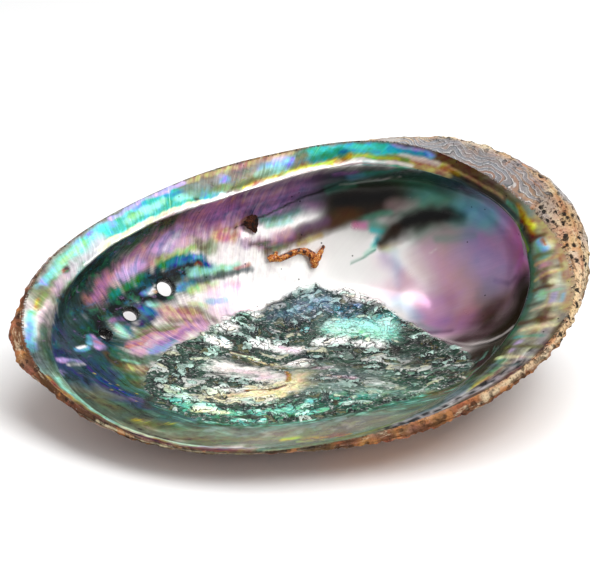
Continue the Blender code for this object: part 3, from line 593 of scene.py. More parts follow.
# Marks that run round the inner lip and the rim: colour, half width, strength, share of the way out,
# and the angles from and to, in degrees.
LEDGE_MARKS = (
    (OLIVE, 9.0, 1.0, 0.93, 40, 62), (BROWN, 8.0, 0.9, 0.93, 18, 50), (TURQUOISE, 8.0, 1.0, 0.95, 64, 92),
    (STONE, 9.0, 1.0, 0.94, 93, 128), (TURQUOISE, 9.0, 1.0, 0.94, 128, 158),
    (SEA, 9.0, 0.9, 0.94, 159, 178),
    (OLIVE, 9.0, 0.9, 0.94, 179, 186), (PEARL, 8.0, 0.95, 0.94, 187, 197),
    (SLATE, 9.0, 0.95, 0.94, 198, 207),
    (SAGE, 9.0, 1.0, 0.94, 208, 252), (MOSS, 9.0, 1.0, 0.94, 254, 300),
    (OLIVE, 9.0, 0.95, 0.94, 300, 322), (SAGE, 9.0, 1.0, 0.94, 322, 345),
    (SAGE, 9.0, 1.0, 0.94, 346, 377), (FOREST, 5.0, 0.8, 0.90, 318, 345),
    (ASH, 3.6, 0.95, 0.985, 288, 322), (STONE, 3.0, 0.95, 0.99, 322, 350),
    (TAN, 2.0, 0.8, 0.995, 350, 378),
    (BROWN, 1.4, 0.9, 0.998, 288, 345), (RUST, 1.2, 0.6, 0.97, 288, 305),
    # gold, pink and blue bumps round the spire's end
    (TAN, 4.0, 0.6, 0.95, 326, 375), (SAGE, 3.0, 0.5, 0.93, 340, 375), (OLIVE, 3.0, 0.7, 0.955, 374, 390),
    (RUST, 1.6, 0.8, 0.945, 375, 381), (BROWN, 1.3, 0.8, 0.93, 374, 378),
    (GOLD, 1.2, 0.8, 0.965, 377, 384),
    (SEA, 2.0, 0.7, 0.95, 367, 371), (SKY, 1.2, 0.8, 0.96, 369, 372), (RUST, 0.6, 0.9, 0.965, 370, 372),
    (ROSE, 1.7, 0.75, 0.945, 362, 365), (BROWN, 1.4, 0.9, 0.945, 358.5, 361.5),
    (RUST, 0.5, 0.6, 0.985, 358, 366),
    (MINT, 1.5, 0.6, 0.94, 354, 357.5), (LILAC, 1.0, 0.7, 0.965, 352, 354.5),
    (SKY, 0.6, 0.6, 0.98, 352, 354),
    (BROWN, 1.6, 0.85, 0.96, 346.5, 350), (UMBER, 1.0, 0.7, 0.95, 347, 349),
    (CREAM, 1.7, 0.8, 0.975, 344, 347),
    (TAN, 1.2, 0.6, 0.96, 341, 344), (LILAC, 1.1, 0.7, 0.945, 336, 339.5),
    (SLATE, 1.4, 0.6, 0.96, 333, 342),
    (SEA, 1.6, 0.75, 0.945, 327, 333), (MOSS, 1.4, 0.6, 0.95, 320, 326), (GOLD, 0.8, 0.5, 0.96, 318, 324),
    # the dark green edge of the lip round the spire's end
    (BOTTLE, 2.2, 0.9, 0.89, 318, 380), (FOREST, 0.7, 0.7, 0.90, 340, 372),
    (LIME, 0.7, 0.45, 0.885, 372, 384),
    (UMBER, 3.2, 0.9, 0.91, 322, 340), (DEEP_TEAL, 1.8, 0.8, 0.90, 24, 52), (SEA, 0.9, 0.7, 0.95, 24, 28),
    (TAN, 0.6, 0.7, 0.955, 30, 56), (UMBER, 1.0, 0.8, 0.93, 30, 58),
    # blue, turquoise and green along the far side
    (TAN, 1.8, 0.9, 0.93, 47, 62), (RUST, 0.8, 0.6, 0.945, 44, 60), (PEARL, 1.0, 0.6, 0.955, 50, 60),
    (SKY, 1.5, 0.9, 0.985, 53, 62), (PEACOCK, 1.0, 0.7, 0.975, 54, 64), (VIOLET, 0.8, 0.6, 0.99, 55, 63),
    (TURQUOISE, 2.6, 0.8, 0.972, 63.5, 76), (TURQUOISE, 2.0, 0.8, 0.975, 78, 87),
    (SEA, 1.0, 0.7, 0.96, 66, 86),
    (PEACOCK, 0.7, 0.7, 0.96, 66, 77), (MOSS, 1.2, 0.95, 0.935, 58, 80), (LIME, 0.7, 0.6, 0.93, 60, 74),
    (GOLD, 1.5, 0.9, 0.915, 74, 97), (LIME, 0.7, 0.7, 0.925, 79, 90), (MOSS, 1.0, 0.6, 0.92, 95, 112),
    (OLIVE, 1.2, 0.9, 0.97, 87.5, 91), (FOREST, 1.4, 0.7, 0.985, 88, 94), (MOSS, 1.6, 0.7, 0.94, 92, 120),
    (SKY, 2.4, 0.95, 0.968, 94, 101), (MINT, 1.3, 0.8, 0.95, 96, 104), (LILAC, 0.9, 0.6, 0.98, 94, 98),
    (STONE, 1.6, 0.7, 0.98, 103, 114), (SKY, 1.4, 0.95, 0.965, 115.5, 118),
    (LILAC, 0.7, 0.6, 0.975, 116, 117.5),
    (STONE, 2.0, 0.8, 0.97, 119, 129), (BROWN, 1.0, 0.5, 0.985, 119, 130),
    (GOLD, 0.9, 0.7, 0.915, 98, 110),
    # the broad cyan stretch towards the growing end
    (SEA, 2.6, 0.5, 0.955, 127, 156), (SEA, 1.6, 0.7, 0.935, 128, 150),
    (TURQUOISE, 1.6, 0.7, 0.975, 132, 142),
    (MINT, 1.4, 0.7, 0.96, 138, 150), (MINT, 1.2, 0.6, 0.95, 128, 133), (SKY, 1.2, 0.8, 0.985, 144, 149),
    (SKY, 1.6, 0.85, 0.975, 153, 163), (LILAC, 0.8, 0.6, 0.985, 134, 137),
    (AQUA, 1.8, 0.75, 0.955, 156, 166),
    (MINT, 1.6, 0.6, 0.965, 164, 173), (PEACOCK, 0.6, 0.5, 0.97, 130, 136),
    (SKY, 1.5, 0.75, 0.975, 173, 178),
    (PINK, 2.2, 0.45, 0.925, 160, 178), (LIME, 0.8, 0.35, 0.965, 158, 170),
    (OLIVE, 2.2, 0.9, 0.96, 179, 183), (GOLD, 1.0, 0.7, 0.965, 182, 186),
    (MOSS, 1.0, 0.6, 0.955, 180, 184),
    (AQUA, 1.6, 0.8, 0.975, 186, 190), (SKY, 1.8, 0.85, 0.975, 190, 196),
    (MINT, 1.0, 0.6, 0.962, 186, 194),
    (ROSE, 2.4, 0.35, 0.915, 184, 196), (SLATE, 2.6, 0.8, 0.945, 197, 206),
    (FOREST, 1.6, 0.7, 0.93, 190, 206),
    (BOTTLE, 2.4, 0.75, 0.87, 178, 200), (GREY_GREEN, 1.4, 0.6, 0.955, 198, 205),
    # the pale strip along the outer lip
    (SAGE, 2.0, 0.95, 0.95, 206, 232), (MINT, 1.2, 0.8, 0.955, 207, 226),
    (FOREST, 1.0, 0.7, 0.975, 206, 222),
    (SAGE, 3.0, 0.9, 0.92, 226, 266), (MINT, 1.4, 0.6, 0.92, 226, 252),
    (CREAM, 1.0, 0.5, 0.935, 228, 248),
    (LILAC, 1.0, 0.5, 0.92, 247, 268), (OLIVE, 2.4, 0.9, 0.90, 262, 305), (TAN, 0.8, 0.7, 0.94, 258, 285),
    (GREY_BLUE, 0.9, 0.8, 0.955, 262, 300), (BROWN, 0.9, 0.8, 0.965, 236, 300),
    (ASH, 1.0, 0.7, 0.975, 240, 292),
    (LILAC, 1.0, 0.6, 0.96, 292, 306), (GOLD, 0.8, 0.7, 0.925, 280, 312),
    (SKY, 0.7, 0.6, 0.955, 300, 308),
    (BRICK, 1.2, 0.8, 0.995, 206, 300), (UMBER, 0.6, 0.7, 0.985, 215, 300),
    (SAND, 0.6, 0.5, 0.978, 262, 300),
    (GREY_BLUE, 1.6, 0.7, 0.95, 306, 318), (STONE, 1.0, 0.6, 0.975, 300, 322),
    (FOREST, 3.0, 0.7, 0.90, 262, 322),
    (SLATE, 1.0, 0.6, 0.94, 300, 330), (ASH, 1.3, 0.8, 0.978, 296, 345),
    # dull brown along the very edge, and three small holes
    (BROWN, 0.8, 0.8, 0.998, 40, 180), (TAN, 0.9, 0.6, 0.990, 92, 128), (STONE, 0.8, 0.6, 0.99, 128, 176),
    (UMBER, 1.1, 1.0, 0.943, 171, 171.6), (RUST, 0.6, 0.8, 0.948, 171.6, 172),
    (UMBER, 0.9, 1.0, 0.905, 156.4, 157),
    (BROWN, 3.0, 0.4, 0.975, 102, 128), (OLIVE, 1.6, 0.6, 0.945, 100, 127),
    (INK, 0.7, 0.9, 0.925, 127.8, 128.4),
    # the white edge of the inner lip, a painted highlight on its rounding, and the fine dark line under it,
    # painted shade
    (WHITE, 1.1, 1.0, 0.888, 96, 130), (WHITE, 0.6, 1.0, 0.882, 128, 168),
    (GREY_GREEN, 0.5, 0.7, 0.874, 128, 168), (WHITE, 1.0, 0.95, 0.872, 70, 98),
    (CREAM, 0.8, 0.8, 0.905, 128, 162), (LILAC, 0.7, 0.8, 0.99, 128, 152),
    (WHITE, 0.9, 0.8, 0.895, 80, 104),
    (TAUPE, 0.5, 0.8, 0.868, 92, 146), (TAUPE, 0.4, 0.8, 0.880, 62, 100),
    (STONE, 0.5, 0.7, 0.853, 76, 150),
    (PEARL, 0.7, 0.8, 0.905, 56, 78), (MINT, 0.7, 0.5, 0.862, 48, 62),
    (UMBER, 1.2, 0.85, 0.845, 128, 164),
)
# Bands across the lip where it swells into bumps round the spire's end.
BUMP_BANDS = (
    (BROWN, 1.0, 0.8, (72.0, 18), (76, 18)), (OLIVE, 0.8, 0.8, (72.5, 11), (77, 10.4)),
    (TAN, 0.8, 0.7, (73, 8), (78, 8.2)),
    (OLIVE, 0.9, 0.8, (73, 4.4), (78, 4.0)), (TAN, 0.7, 0.7, (73, 2.2), (78, 2.4)),
    (BROWN, 0.9, 0.9, (72.8, -2), (77, -3.4)),
    (MINT, 0.6, 0.5, (73.5, -5.2), (78, -5.8)), (UMBER, 0.8, 0.7, (71.5, -8), (75, -9)),
    (CREAM, 0.7, 0.6, (73, -11), (77.5, -12)),
    (BROWN, 1.0, 0.85, (70.5, -15.5), (76, -18)), (CREAM, 0.9, 0.7, (71.5, -19.5), (76, -20.8)),
    (SEA, 0.7, 0.6, (70, -23), (74, -25)),
    (OLIVE, 1.0, 0.8, (68, -28), (73, -30)), (CREAM, 0.7, 0.6, (66, -33), (71, -35)),
    (SLATE, 0.8, 0.7, (64, -37), (69, -39)),
)
# A row of small black holes in the grey strip: share of the way out and angle of each.
EDGE_HOLES = ((0.975, 293), (0.98, 295), (0.972, 297), (0.982, 299.5), (0.976, 301), (0.97, 304),
              (0.98, 306.5), (0.974, 309), (0.98, 312), (0.972, 313.5), (0.978, 317), (0.972, 321),
              (0.98, 323), (0.974, 327), (0.98, 331), (0.976, 336))
LEDGE_MARKS += tuple((INK, 0.75, 0.95, share, angle, angle + 0.9) for share, angle in EDGE_HOLES)

# Marks on the outside, run like those of the ledge.
OUTER_MARKS = (
    (CLAY, 40, 1.0, 0.80, 0, 360),
    (BRICK, 9.0, 0.6, 0.78, 208, 300), (ASH, 8.0, 0.5, 0.72, 215, 300), (CLAY, 3.0, 0.8, 0.93, 205, 300),
    (BROWN, 1.8, 0.9, 0.975, 205, 318), (TAN, 0.5, 0.7, 0.955, 225, 300),
    (BRICK, 1.4, 0.7, 0.925, 232, 300),
    (UMBER, 0.7, 0.8, 0.96, 215, 305), (CREAM, 0.4, 0.8, 0.982, 222, 262),
    (UMBER, 0.5, 0.8, 0.99, 240, 310),
    (BRICK, 7.0, 0.8, 0.92, 176, 212), (ORANGE, 3.0, 0.6, 0.93, 176, 198),
    (BROWN, 1.2, 0.8, 0.985, 180, 215),
    (ORANGE, 12.0, 1.0, 0.88, 290, 368), (BRICK, 2.4, 0.8, 0.93, 292, 340),
    (RUST, 1.6, 0.7, 0.90, 300, 345), (CREAM, 1.0, 0.7, 0.875, 300, 350),
    (BROWN, 1.4, 0.7, 0.965, 300, 345), (SAND, 1.0, 0.7, 0.985, 318, 350),
    (ORANGE, 2.0, 0.6, 0.80, 310, 350),
    # the tan pitted crust and the grey, agate-like growth lines of the spire's end
    (TAN, 16, 0.95, 0.86, -10, 24), (SAND, 5.0, 0.6, 0.90, -12, 16), (BROWN, 2.6, 0.6, 0.84, -6, 8),
    (ASH, 17, 1.0, 0.72, 16, 66), (STONE, 4.0, 0.6, 0.80, 14, 30), (ASH, 8.0, 1.0, 0.90, 22, 64),
    (CHALK, 4.0, 0.8, 0.80, 26, 64),
    (ASH, 2.6, 0.9, 0.975, 33, 60), (TAN, 2.6, 0.9, 0.925, 36, 92), (SAND, 1.2, 0.8, 0.945, 40, 80),
    (TAN, 3.0, 0.85, 0.93, 12, 28), (RUST, 1.0, 0.5, 0.935, 2, 26), (TAN, 2.0, 0.8, 0.975, 88, 130),
    (BROWN, 1.0, 0.6, 0.99, 96, 150), (CHALK, 1.6, 0.7, 0.97, 150, 178),
)

# Tones of the scar, under its flakes and over them, drawn on the same chart.
SCAR_MARKS = (
    (GREY_BLUE, 9, 0.95, (-14, 27), (-4, 29), (5, 28), (10, 24)),
    (SLATE, 3.0, 0.7, (-20, 20), (-12, 20), (-4, 20), (4, 18)),
    (SKY, 1.6, 0.25, (-9, 27), (-3, 28)), (SKY, 1.4, 0.25, (2, 28), (7, 28)),
    (SAGE, 3.6, 0.8, (-22, 18), (-18, 22)), (SLATE, 3.0, 0.8, (-14, 27), (-8, 30)),
    (WHITE, 3.0, 0.7, (-26, 10), (-22, 14)),
    (SAGE, 6.0, 0.8, (-27, 6), (-24, 0), (-26, -8)), (WHITE, 2.6, 0.8, (-25, 4), (-22, 3)),
    (SLATE, 2.0, 0.7, (-20, 12), (-14, 12), (-8, 13)), (SLATE, 2.4, 0.8, (-20, -3), (-14, -5), (-9, -9)),
    (ICE, 5.0, 0.85, (8, 15), (13, 14), (18, 12)), (AQUA, 4.0, 0.5, (11, 15), (17, 11)),
    (SKY, 2.6, 0.8, (10.5, 21), (12.5, 21)),
    (MINT, 4.0, 0.8, (8, 11), (14, 10), (18, 8)), (TURQUOISE, 2.0, 0.5, (18, 16), (22, 14)),
    (WHITE, 2.6, 0.8, (4, 7), (8, 6)), (WHITE, 2.2, 0.7, (12, 5), (16, 4)),
    (PEARL, 4.0, 0.9, (13, 29), (16, 27), (18, 24)),
    (SLATE, 2.6, 0.7, (12, 19), (16, 20)), (WHITE, 2.4, 0.8, (-14, 6), (-10, 5)),
    (WHITE, 3.0, 0.9, (-7, 4), (-3, 4)),
    (PINK, 1.6, 0.6, (-7, 5), (-3, 4)), (SLATE, 2.6, 0.8, (-1, -1), (3, -2)),
    (PEARL, 2.4, 0.8, (-4, -6), (0, -8)),
    (PEARL, 6.0, 0.95, (-21, -10), (-16, -14), (-10, -20)), (PINK, 3.0, 0.35, (-18, -12), (-13, -17)),
    (SAGE, 1.6, 0.6, (-20, -14), (-15, -16)), (WHITE, 1.6, 0.8, (-22, -8), (-15, -9)),
    (CREAM, 5.0, 0.95, (-17, -34), (-8, -33), (0, -28), (2, -22)),
    (PEARL, 2.2, 0.7, (-26, -27), (-20, -30)),
    (PINK, 1.4, 0.4, (5, -12), (9, -10)), (GREY_GREEN, 5.0, 0.8, (8, -20), (14, -14), (20, -8)),
    (SLATE, 4.0, 0.85, (6, -26), (10, -22), (16, -16)), (UMBER, 3.4, 0.85, (20, 2), (25, 3), (30, 2)),
    (UMBER, 2.6, 0.7, (24, -5), (29, -4), (34, -6)), (PINK, 1.6, 0.4, (12, -24), (17, -20)),
    (FOREST, 6.0, 0.8, (28, -16), (34, -18), (30, -30)), (SAGE, 2.6, 0.7, (24, -12), (30, -14)),
    (SAGE, 3.0, 0.6, (22, -36), (32, -32), (40, -28)), (OLIVE, 2.2, 0.6, (36, -16), (42, -20)),
    (SEA, 5.5, 0.75, (-34, -44), (-20, -49), (-4, -50), (10, -48), (22, -44)),
    (SEA, 3.0, 0.6, (-38, -30), (-36, -40)), (MINT, 1.6, 0.7, (-36, -25), (-34, -33)),
    (MINT, 3.0, 0.6, (-34, -36), (-24, -44), (-10, -47), (4, -45)),
    (CREAM, 3.0, 0.5, (-28, -30), (-22, -36)),
    (FOREST, 4.0, 0.8, (-30, -53), (-14, -56), (2, -57), (18, -55), (32, -48)),
    (CREAM, 1.6, 0.7, (-32, -42), (-24, -44)), (MINT, 1.3, 0.8, (-22, -52), (-12, -54)),
    (MINT, 1.4, 0.6, (0, -52), (10, -50)),
)
SCAR_TOP_MARKS = (
    (INK, 1.0, 0.85, (-15, 29.5), (-11, 31.5), (-6, 33), (0, 34), (5, 35)),
    (INK, 0.6, 0.8, (-22, 17), (-18, 19), (-14, 20)),
    (SLATE, 0.8, 0.7, (-4, 33), (4, 34)), (INK, 0.45, 0.8, (-5, 24), (-4, 18), (-3, 14)),
    (INK, 0.7, 0.85, (-3, 0), (0, 1.5), (4, 0), (5, -4)), (INK, 0.5, 0.8, (-18, 0), (-12, -1), (-6, -3)),
    (OLIVE, 1.4, 0.8, (-18, -3), (-12, -5), (-8, -8), (-6, -10)),
    (CREAM, 0.9, 0.8, (-19, -1), (-12, -3), (-8, -5)),
    (RUST, 0.7, 0.95, (-6, -14), (-5, -19), (-5, -25)), (GOLD, 0.5, 0.8, (-5, -17), (-4.4, -24)),
    (RUST, 0.55, 0.9, (-6, -29), (-10, -31.5), (-15, -31), (-19, -30)),
    (INK, 0.7, 0.8, (-7, -15), (-8, -13)),
    (INK, 0.4, 0.7, (-7, -29), (-13, -32), (-19, -31)),
    (UMBER, 0.6, 0.8, (4, -6), (7, -10), (3, -12), (-2, -13)),
    (RUST, 0.9, 0.8, (13, -45), (13.5, -46)), (INK, 0.6, 0.8, (28, -13), (30, -17), (34, -18)),
    (INK, 0.5, 0.7, (22, -9), (26, -12), (28, -16)), (INK, 0.5, 0.7, (18, 21), (22, 17), (24, 12)),
    (PEARL, 0.7, 0.7, (17, 25), (20, 20), (24, 13), (28, 9)), (TAN, 1.0, 0.6, (24, 11), (29, 7), (32, 4)),
    (INK, 0.5, 0.6, (26, 9), (31, 4.5), (35, 0)), (TAN, 0.6, 0.7, (41, -6), (46, -7), (50, -8)),
    (WHITE, 1.2, 0.9, (-17.6, 23.4), (-17.4, 23.5)),
)

# Smooth places of the scar, where it isn't broken into plates: half width, strength and line.
SCAR_CALM_PLACES = (
    (6.5, 0.9, (-21, -9), (-15, -12), (-9, -18)), (5.0, 0.9, (-1, -15), (0, -24)),
    (4.0, 0.8, (-19, -33), (-8, -34), (8, -35)), (2.6, 0.6, (-8, 4), (-3, 3)),
    (5.0, 0.5, (6, 16), (13, 13), (18, 9)), (6.0, 0.8, (8, -10), (15, -14), (22, -16)),
    (5.0, 0.6, (-12, 28), (-4, 30), (5, 29)), (3.0, 0.6, (20, 0), (25, -6)),
    (5.0, 0.6, (10, -34), (22, -34), (34, -28)),
)

# Near-black painted on the open pores' walls, as the shade inside them.
PORE_SHADE = (12, 14, 16)
LINE_STEP = 3.0                         # chart units between the points of a stroke's line


def tint(colour):
    """Linear colour of one given out of 255."""
    return (np.array(colour) / 255.0) ** 2.2


def chart_line(line, inner):
    """Points a, b, c on a face along a line drawn on its chart."""
    line = np.array(line, dtype=float)
    chart = [line[0]]
    for start, end in zip(line, line[1:]):
        count = max(1, math.ceil(np.hypot(*(end - start)) / LINE_STEP))
        chart += [start + (end - start) * i / count for i in range(1, count + 1)]
    p, q = np.array(chart).T
    return face_points(np.arctan2(q, p), np.minimum(np.hypot(p, q) / CHART, 1.0), inner)


def ring(share, start, end):
    """Line on the chart that runs round at one share of the way out, from one angle to another."""
    turns = np.radians(np.linspace(start, end, max(2, math.ceil((end - start) / 4))))
    return np.stack([CHART * share * np.cos(turns), CHART * share * np.sin(turns)], axis=1)


class Surface:
    """Points to be painted, how far their place wanders, and how the hairs fray a stroke's edge."""

    def __init__(self, points, streaks, across, frayed):
        self.points, self.frayed = points, frayed
        loose = (0.35 + 0.65 * frayed)[:, None]
        self.wander = np.stack([lumps(points, 7.0, 31 + i) for i in range(3)], axis=1) * (0.6 + 0.4 * loose)
        self.wander += 0.5 * np.stack([lumps(points, 2.2, 41 + i) for i in range(3)], axis=1) * loose
        long, short = 5.0, 1.1
        fray_across = lumps(streaks, np.array((short, short, long)), 21)
        fray_across += lumps(streaks, np.array((3, 3, long)), 23)
        fray_along = lumps(streaks, np.array((long, long, short)), 22)
        fray_along += lumps(streaks, np.array((long, long, 3)), 24)
        self.fray = frayed * (across * fray_across + (1 - across) * fray_along)

    def brush(self, coat, colour, half_width, strength, line):
        """Lay a colour along a line with a frayed edge."""
        middle = (line.max(axis=0) + line.min(axis=0)) / 2
        reach = (line.max(axis=0) - line.min(axis=0)) / 2 + 2.6 * half_width + 2
        near = np.nonzero(np.all(np.abs(self.points - middle) < reach, axis=1))[0]
        if len(near) == 0:
            return
        place = self.points[near] + self.wander[near] * (min(0.5 * half_width, 2.0) + 0.3)
        away = from_line(place, line) / half_width + 0.4 * self.fray[near]
        soft = 1 - self.frayed[near]
        laid = strength * (1 - fade(away, 0.30 - 0.25 * soft, 1.50 + 0.35 * soft))
        coat[near] += laid[:, None] * (tint(colour) - coat[near])


def calm_places(surface):
    """1 where the scar is smooth and 0 where it is broken into plates."""
    calm = np.zeros((len(surface.points), 3))
    for half_width, strength, *line in SCAR_CALM_PLACES:
        surface.brush(calm, (255, 255, 255), half_width, strength, chart_line(line, True))
    return calm[:, 0]


def inner_coat(surface, share, scar):
    """Colour of the inside at each point."""
    coat = np.tile(tint(PEARL), (len(share), 1))
    for colour, half_width, strength, *line in INNER_MARKS:
        surface.brush(coat, colour, half_width, strength, chart_line(line, True))
    on_ledge = fade(share, 0.855, 0.875)[:, None]
    ledge = coat.copy()
    for colour, half_width, strength, at, start, end in LEDGE_MARKS:
        surface.brush(ledge, colour, half_width, strength, chart_line(ring(at, start, end), True))
    for colour, half_width, strength, *line in BUMP_BANDS:
        surface.brush(ledge, colour, half_width, strength, chart_line(line, True))
    coat += on_ledge * (ledge - coat)
    scar_coat = np.tile(tint(GREY_GREEN), (len(share), 1))
    for colour, half_width, strength, *line in SCAR_MARKS + SCAR_TOP_MARKS:
        surface.brush(scar_coat, colour, half_width, strength, chart_line(line, True))
    return coat + scar[:, None] * (scar_coat - coat)


def outer_coat(surface, share):
    """Colour of the outside at each point."""
    coat = np.tile(tint(CLAY), (len(share), 1))
    for colour, half_width, strength, at, start, end in OUTER_MARKS:
        surface.brush(coat, colour, half_width, strength, chart_line(ring(at, start, end), False))
    return coat


FEWEST_HAIRS = 0.10                     # hairs where there are almost none
CONTOURS = 125.0                        # agate-like lines from the middle to the rim
WELD_GAP = 0.01


def chart_grid():
    """Angle and share of each point of a square grid, wrapped onto a disc."""
    line = np.linspace(-1, 1, CELLS + 1)
    x, y = (side.ravel() for side in np.meshgrid(line, line, indexing="ij"))
    across, up = x * np.sqrt(1 - y * y / 2), y * np.sqrt(1 - x * x / 2)
    return np.arctan2(up, across), np.minimum(np.hypot(across, up), 1.0)


def combed(angle, along):
    """Place for streaks: round the opening in the first two values, and across it in the third."""
    return np.stack([60.0 * np.cos(angle), 60.0 * np.sin(angle), along], axis=1)


def dress_inside(angle, share):
    """Points, rise, colour, cover, streaks and plate fields of the inside.

    The cover holds the scar, how strong the hairs are, how much they run along the lip, and the
    flecked band below the scar.
    """
    points = face_points(angle, share, True)
    fields = plate_fields(points)
    scar = scar_cover(points) * (1 - fade(share, 0.80, 0.86))
    twist = 1.1 * share + 0.05 * lumps(points, 14.0, 61)
    streaks = combed(angle + twist, CHART * share + lumps(points, 9.0, 62))
    along = fade(np.cos(angle - math.radians(268.0)), 0.0, 0.5) * fade(share, 0.3, 0.5)
    leftness = fade(-points[:, 0], -12.0, 20.0)
    on_lip = (0.3 + 0.5 * fade(-points[:, 0], -60.0, -10.0)) * fade(share, 0.80, 0.86)
    hairs = np.maximum(np.maximum(leftness, on_lip), np.maximum(along, FEWEST_HAIRS))
    surface = Surface(points, streaks, 1 - along, hairs)
    flecks = along * fade(share, 0.42, 0.55) * (1 - fade(share, 0.74, 0.84))
    flecks *= fade(points[:, 0], -46.0, -34.0)
    cover = np.stack([scar, hairs, along, flecks], axis=1)
    calm = calm_places(surface)
    rise = inner_relief(points, share, scar, calm, fields)
    fields = np.column_stack([fields, calm])
    return points, rise, inner_coat(surface, share, scar), cover, streaks, fields


def dress_outside(angle, share):
    """Points, rise, colour, cover, streaks and contour fields of the outside.

    The cover holds the agate-like patch and the porous crust.
    """
    points = face_points(angle, share, False)
    age, rim_angle = winding(points)
    turn = (np.degrees(angle) + 180.0) % 360.0 - 180.0 + 7.0 * lumps(points, 9.0, 51)
    agate = fade(turn, 19.0, 24.0) * (1 - fade(turn, 64.0, 74.0)) * fade(share, 0.5, 0.62)
    agate *= 1 - 0.97 * np.exp(-((share - 0.935 + 0.012 * lumps(points, 5.0, 52)) / 0.032) ** 2)
    porous = fade(turn, -34.0, -16.0) * (1 - fade(turn, 60.0, 90.0)) * (1 - agate)
    cover = np.stack([agate, np.maximum(porous, 0.25), 0 * share, 0 * share], axis=1)
    rise = outer_relief(points, share, age, rim_angle) * (1 - 0.6 * agate)
    streaks = combed(rim_angle, 50.0 * age + 40.0 * (1 - share))
    contour = CONTOURS * share + 5.0 * lumps(points, 13.0, 53)
    contour += 2.2 * lumps(points, 5.0, 54)
    contour += 0.7 * lumps(points, 2.0, 56)
    surface = Surface(points, streaks, 0 * share, 1 + 0 * share)
    fields = np.stack([contour, 0 * share, 0 * share], axis=1)
    return points, rise, outer_coat(surface, share), cover, streaks, fields


def weld_faces(inside, outside):
    """One closed mesh of both faces, whose row attribute says where each point's values are."""
    joined = bmesh.new()
    row_layer = joined.verts.layers.int.new("row")
    first = 0
    for points in (inside, outside):
        known = set(joined.verts)
        bmesh.ops.create_grid(joined, x_segments=CELLS, y_segments=CELLS, size=1.0)
        fresh = [v for v in joined.verts if v not in known]
        column = np.round((np.array([v.co.xy for v in fresh]) + 1) * CELLS / 2).astype(int)
        row = column[:, 0] * (CELLS + 1) + column[:, 1]
        for vert, index in zip(fresh, row):
            vert.co = points[index]
            vert[row_layer] = first + index
        if first:
            bmesh.ops.reverse_faces(joined, faces=[f for f in joined.faces if f.verts[0] not in known])
        first = len(points)
    bmesh.ops.remove_doubles(joined, verts=joined.verts, dist=WELD_GAP)
    mesh = bpy.data.meshes.new("shell_both")
    joined.to_mesh(mesh)
    joined.free()
    return mesh


def on_inner_face(a, b):
    """Point of the inner face's floor or wall above a and b, and its normal."""
    def at(angle, radius):
        low, high = 0.0, 0.80
        for _ in range(30):
            share = (low + high) / 2
            point = face_points(np.array([angle]), np.array([share]), True)[0]
            low, high = (share, high) if math.hypot(point[0], point[1]) < radius else (low, share)
        return Vector(point)
    angle, radius = math.atan2(b, a), math.hypot(a, b)
    here = at(angle, radius)
    outward = at(angle, radius + 0.5) - here
    onward = at(angle + 0.01, radius) - here
    return here, outward.cross(onward).normalized()


def cut_open_pores(body):
    """Cut three funnels through the wall, wider inside, with their walls painted near-black as shade."""
    cutters = []
    throats = []
    for a, b, radius, lean in OPEN_PORES:
        place, normal = on_inner_face(a, b)
        axis = (Vector(lean) - PORE_SQUARENESS * normal).normalized()
        inner, outer = (width * radius for width in PORE_WIDTHS)
        funnel = bmesh.new()
        bmesh.ops.create_cone(funnel, cap_ends=True, segments=PORE_SIDES, radius1=inner, radius2=outer,
                              depth=2 * PORE_REACH)
        turned = axis.to_track_quat("Z", "Y").to_matrix().to_4x4()
        seat = to_world() @ Matrix.Translation(place + axis * PORE_START) @ turned
        funnel.transform(seat)
        mesh = bpy.data.meshes.new("pore")
        funnel.to_mesh(mesh)
        funnel.free()
        cutter = bpy.data.objects.new("pore", mesh)
        bpy.context.scene.collection.objects.link(cutter)
        cutters.append(cutter)
        throats.append((np.array(seat.inverted()), 1.03 * inner))
        cut = body.modifiers.new("pore", "BOOLEAN")
        cut.operation = "DIFFERENCE"
        cut.solver = "EXACT"
        cut.object = cutter
    whole = body.data
    body.data = bpy.data.meshes.new_from_object(body.evaluated_get(bpy.context.evaluated_depsgraph_get()))
    body.modifiers.clear()
    bpy.data.meshes.remove(whole)
    for cutter in cutters:
        bpy.data.meshes.remove(cutter.data)
    place = np.empty(3 * len(body.data.vertices))
    body.data.vertices.foreach_get("co", place)
    paint = np.empty(4 * len(body.data.vertices))
    body.data.attributes["paint"].data.foreach_get("color", paint)
    paint = paint.reshape(-1, 4)
    for inverse, radius in throats:
        x, y, z = (place.reshape(-1, 3) @ inverse[:3, :3].T + inverse[:3, 3]).T
        paint[(np.hypot(x, y) < radius) & (np.abs(z) < PORE_REACH), :3] = tint(PORE_SHADE)
    body.data.attributes["paint"].data.foreach_set("color", paint.ravel())


def part_sides(body, inside_count):
    """The body's inside and outside as two objects, which meet at the rim."""
    whole = bmesh.new()
    whole.from_mesh(body.data)
    sides = []
    for name, inside in (("shell_nacre", True), ("shell_crust", False)):
        side = whole.copy()
        row_layer = side.verts.layers.int["row"]
        other = [f for f in side.faces if all(v[row_layer] < inside_count for v in f.verts) != inside]
        bmesh.ops.delete(side, geom=other, context="FACES")
        mesh = bpy.data.meshes.new(name)
        side.to_mesh(mesh)
        side.free()
        mesh.shade_smooth()
        mesh.materials.clear()
        piece = bpy.data.objects.new(name, mesh)
        bpy.context.scene.collection.objects.link(piece)
        sides.append(piece)
    whole.free()
    bpy.data.meshes.remove(body.data)
    return sides


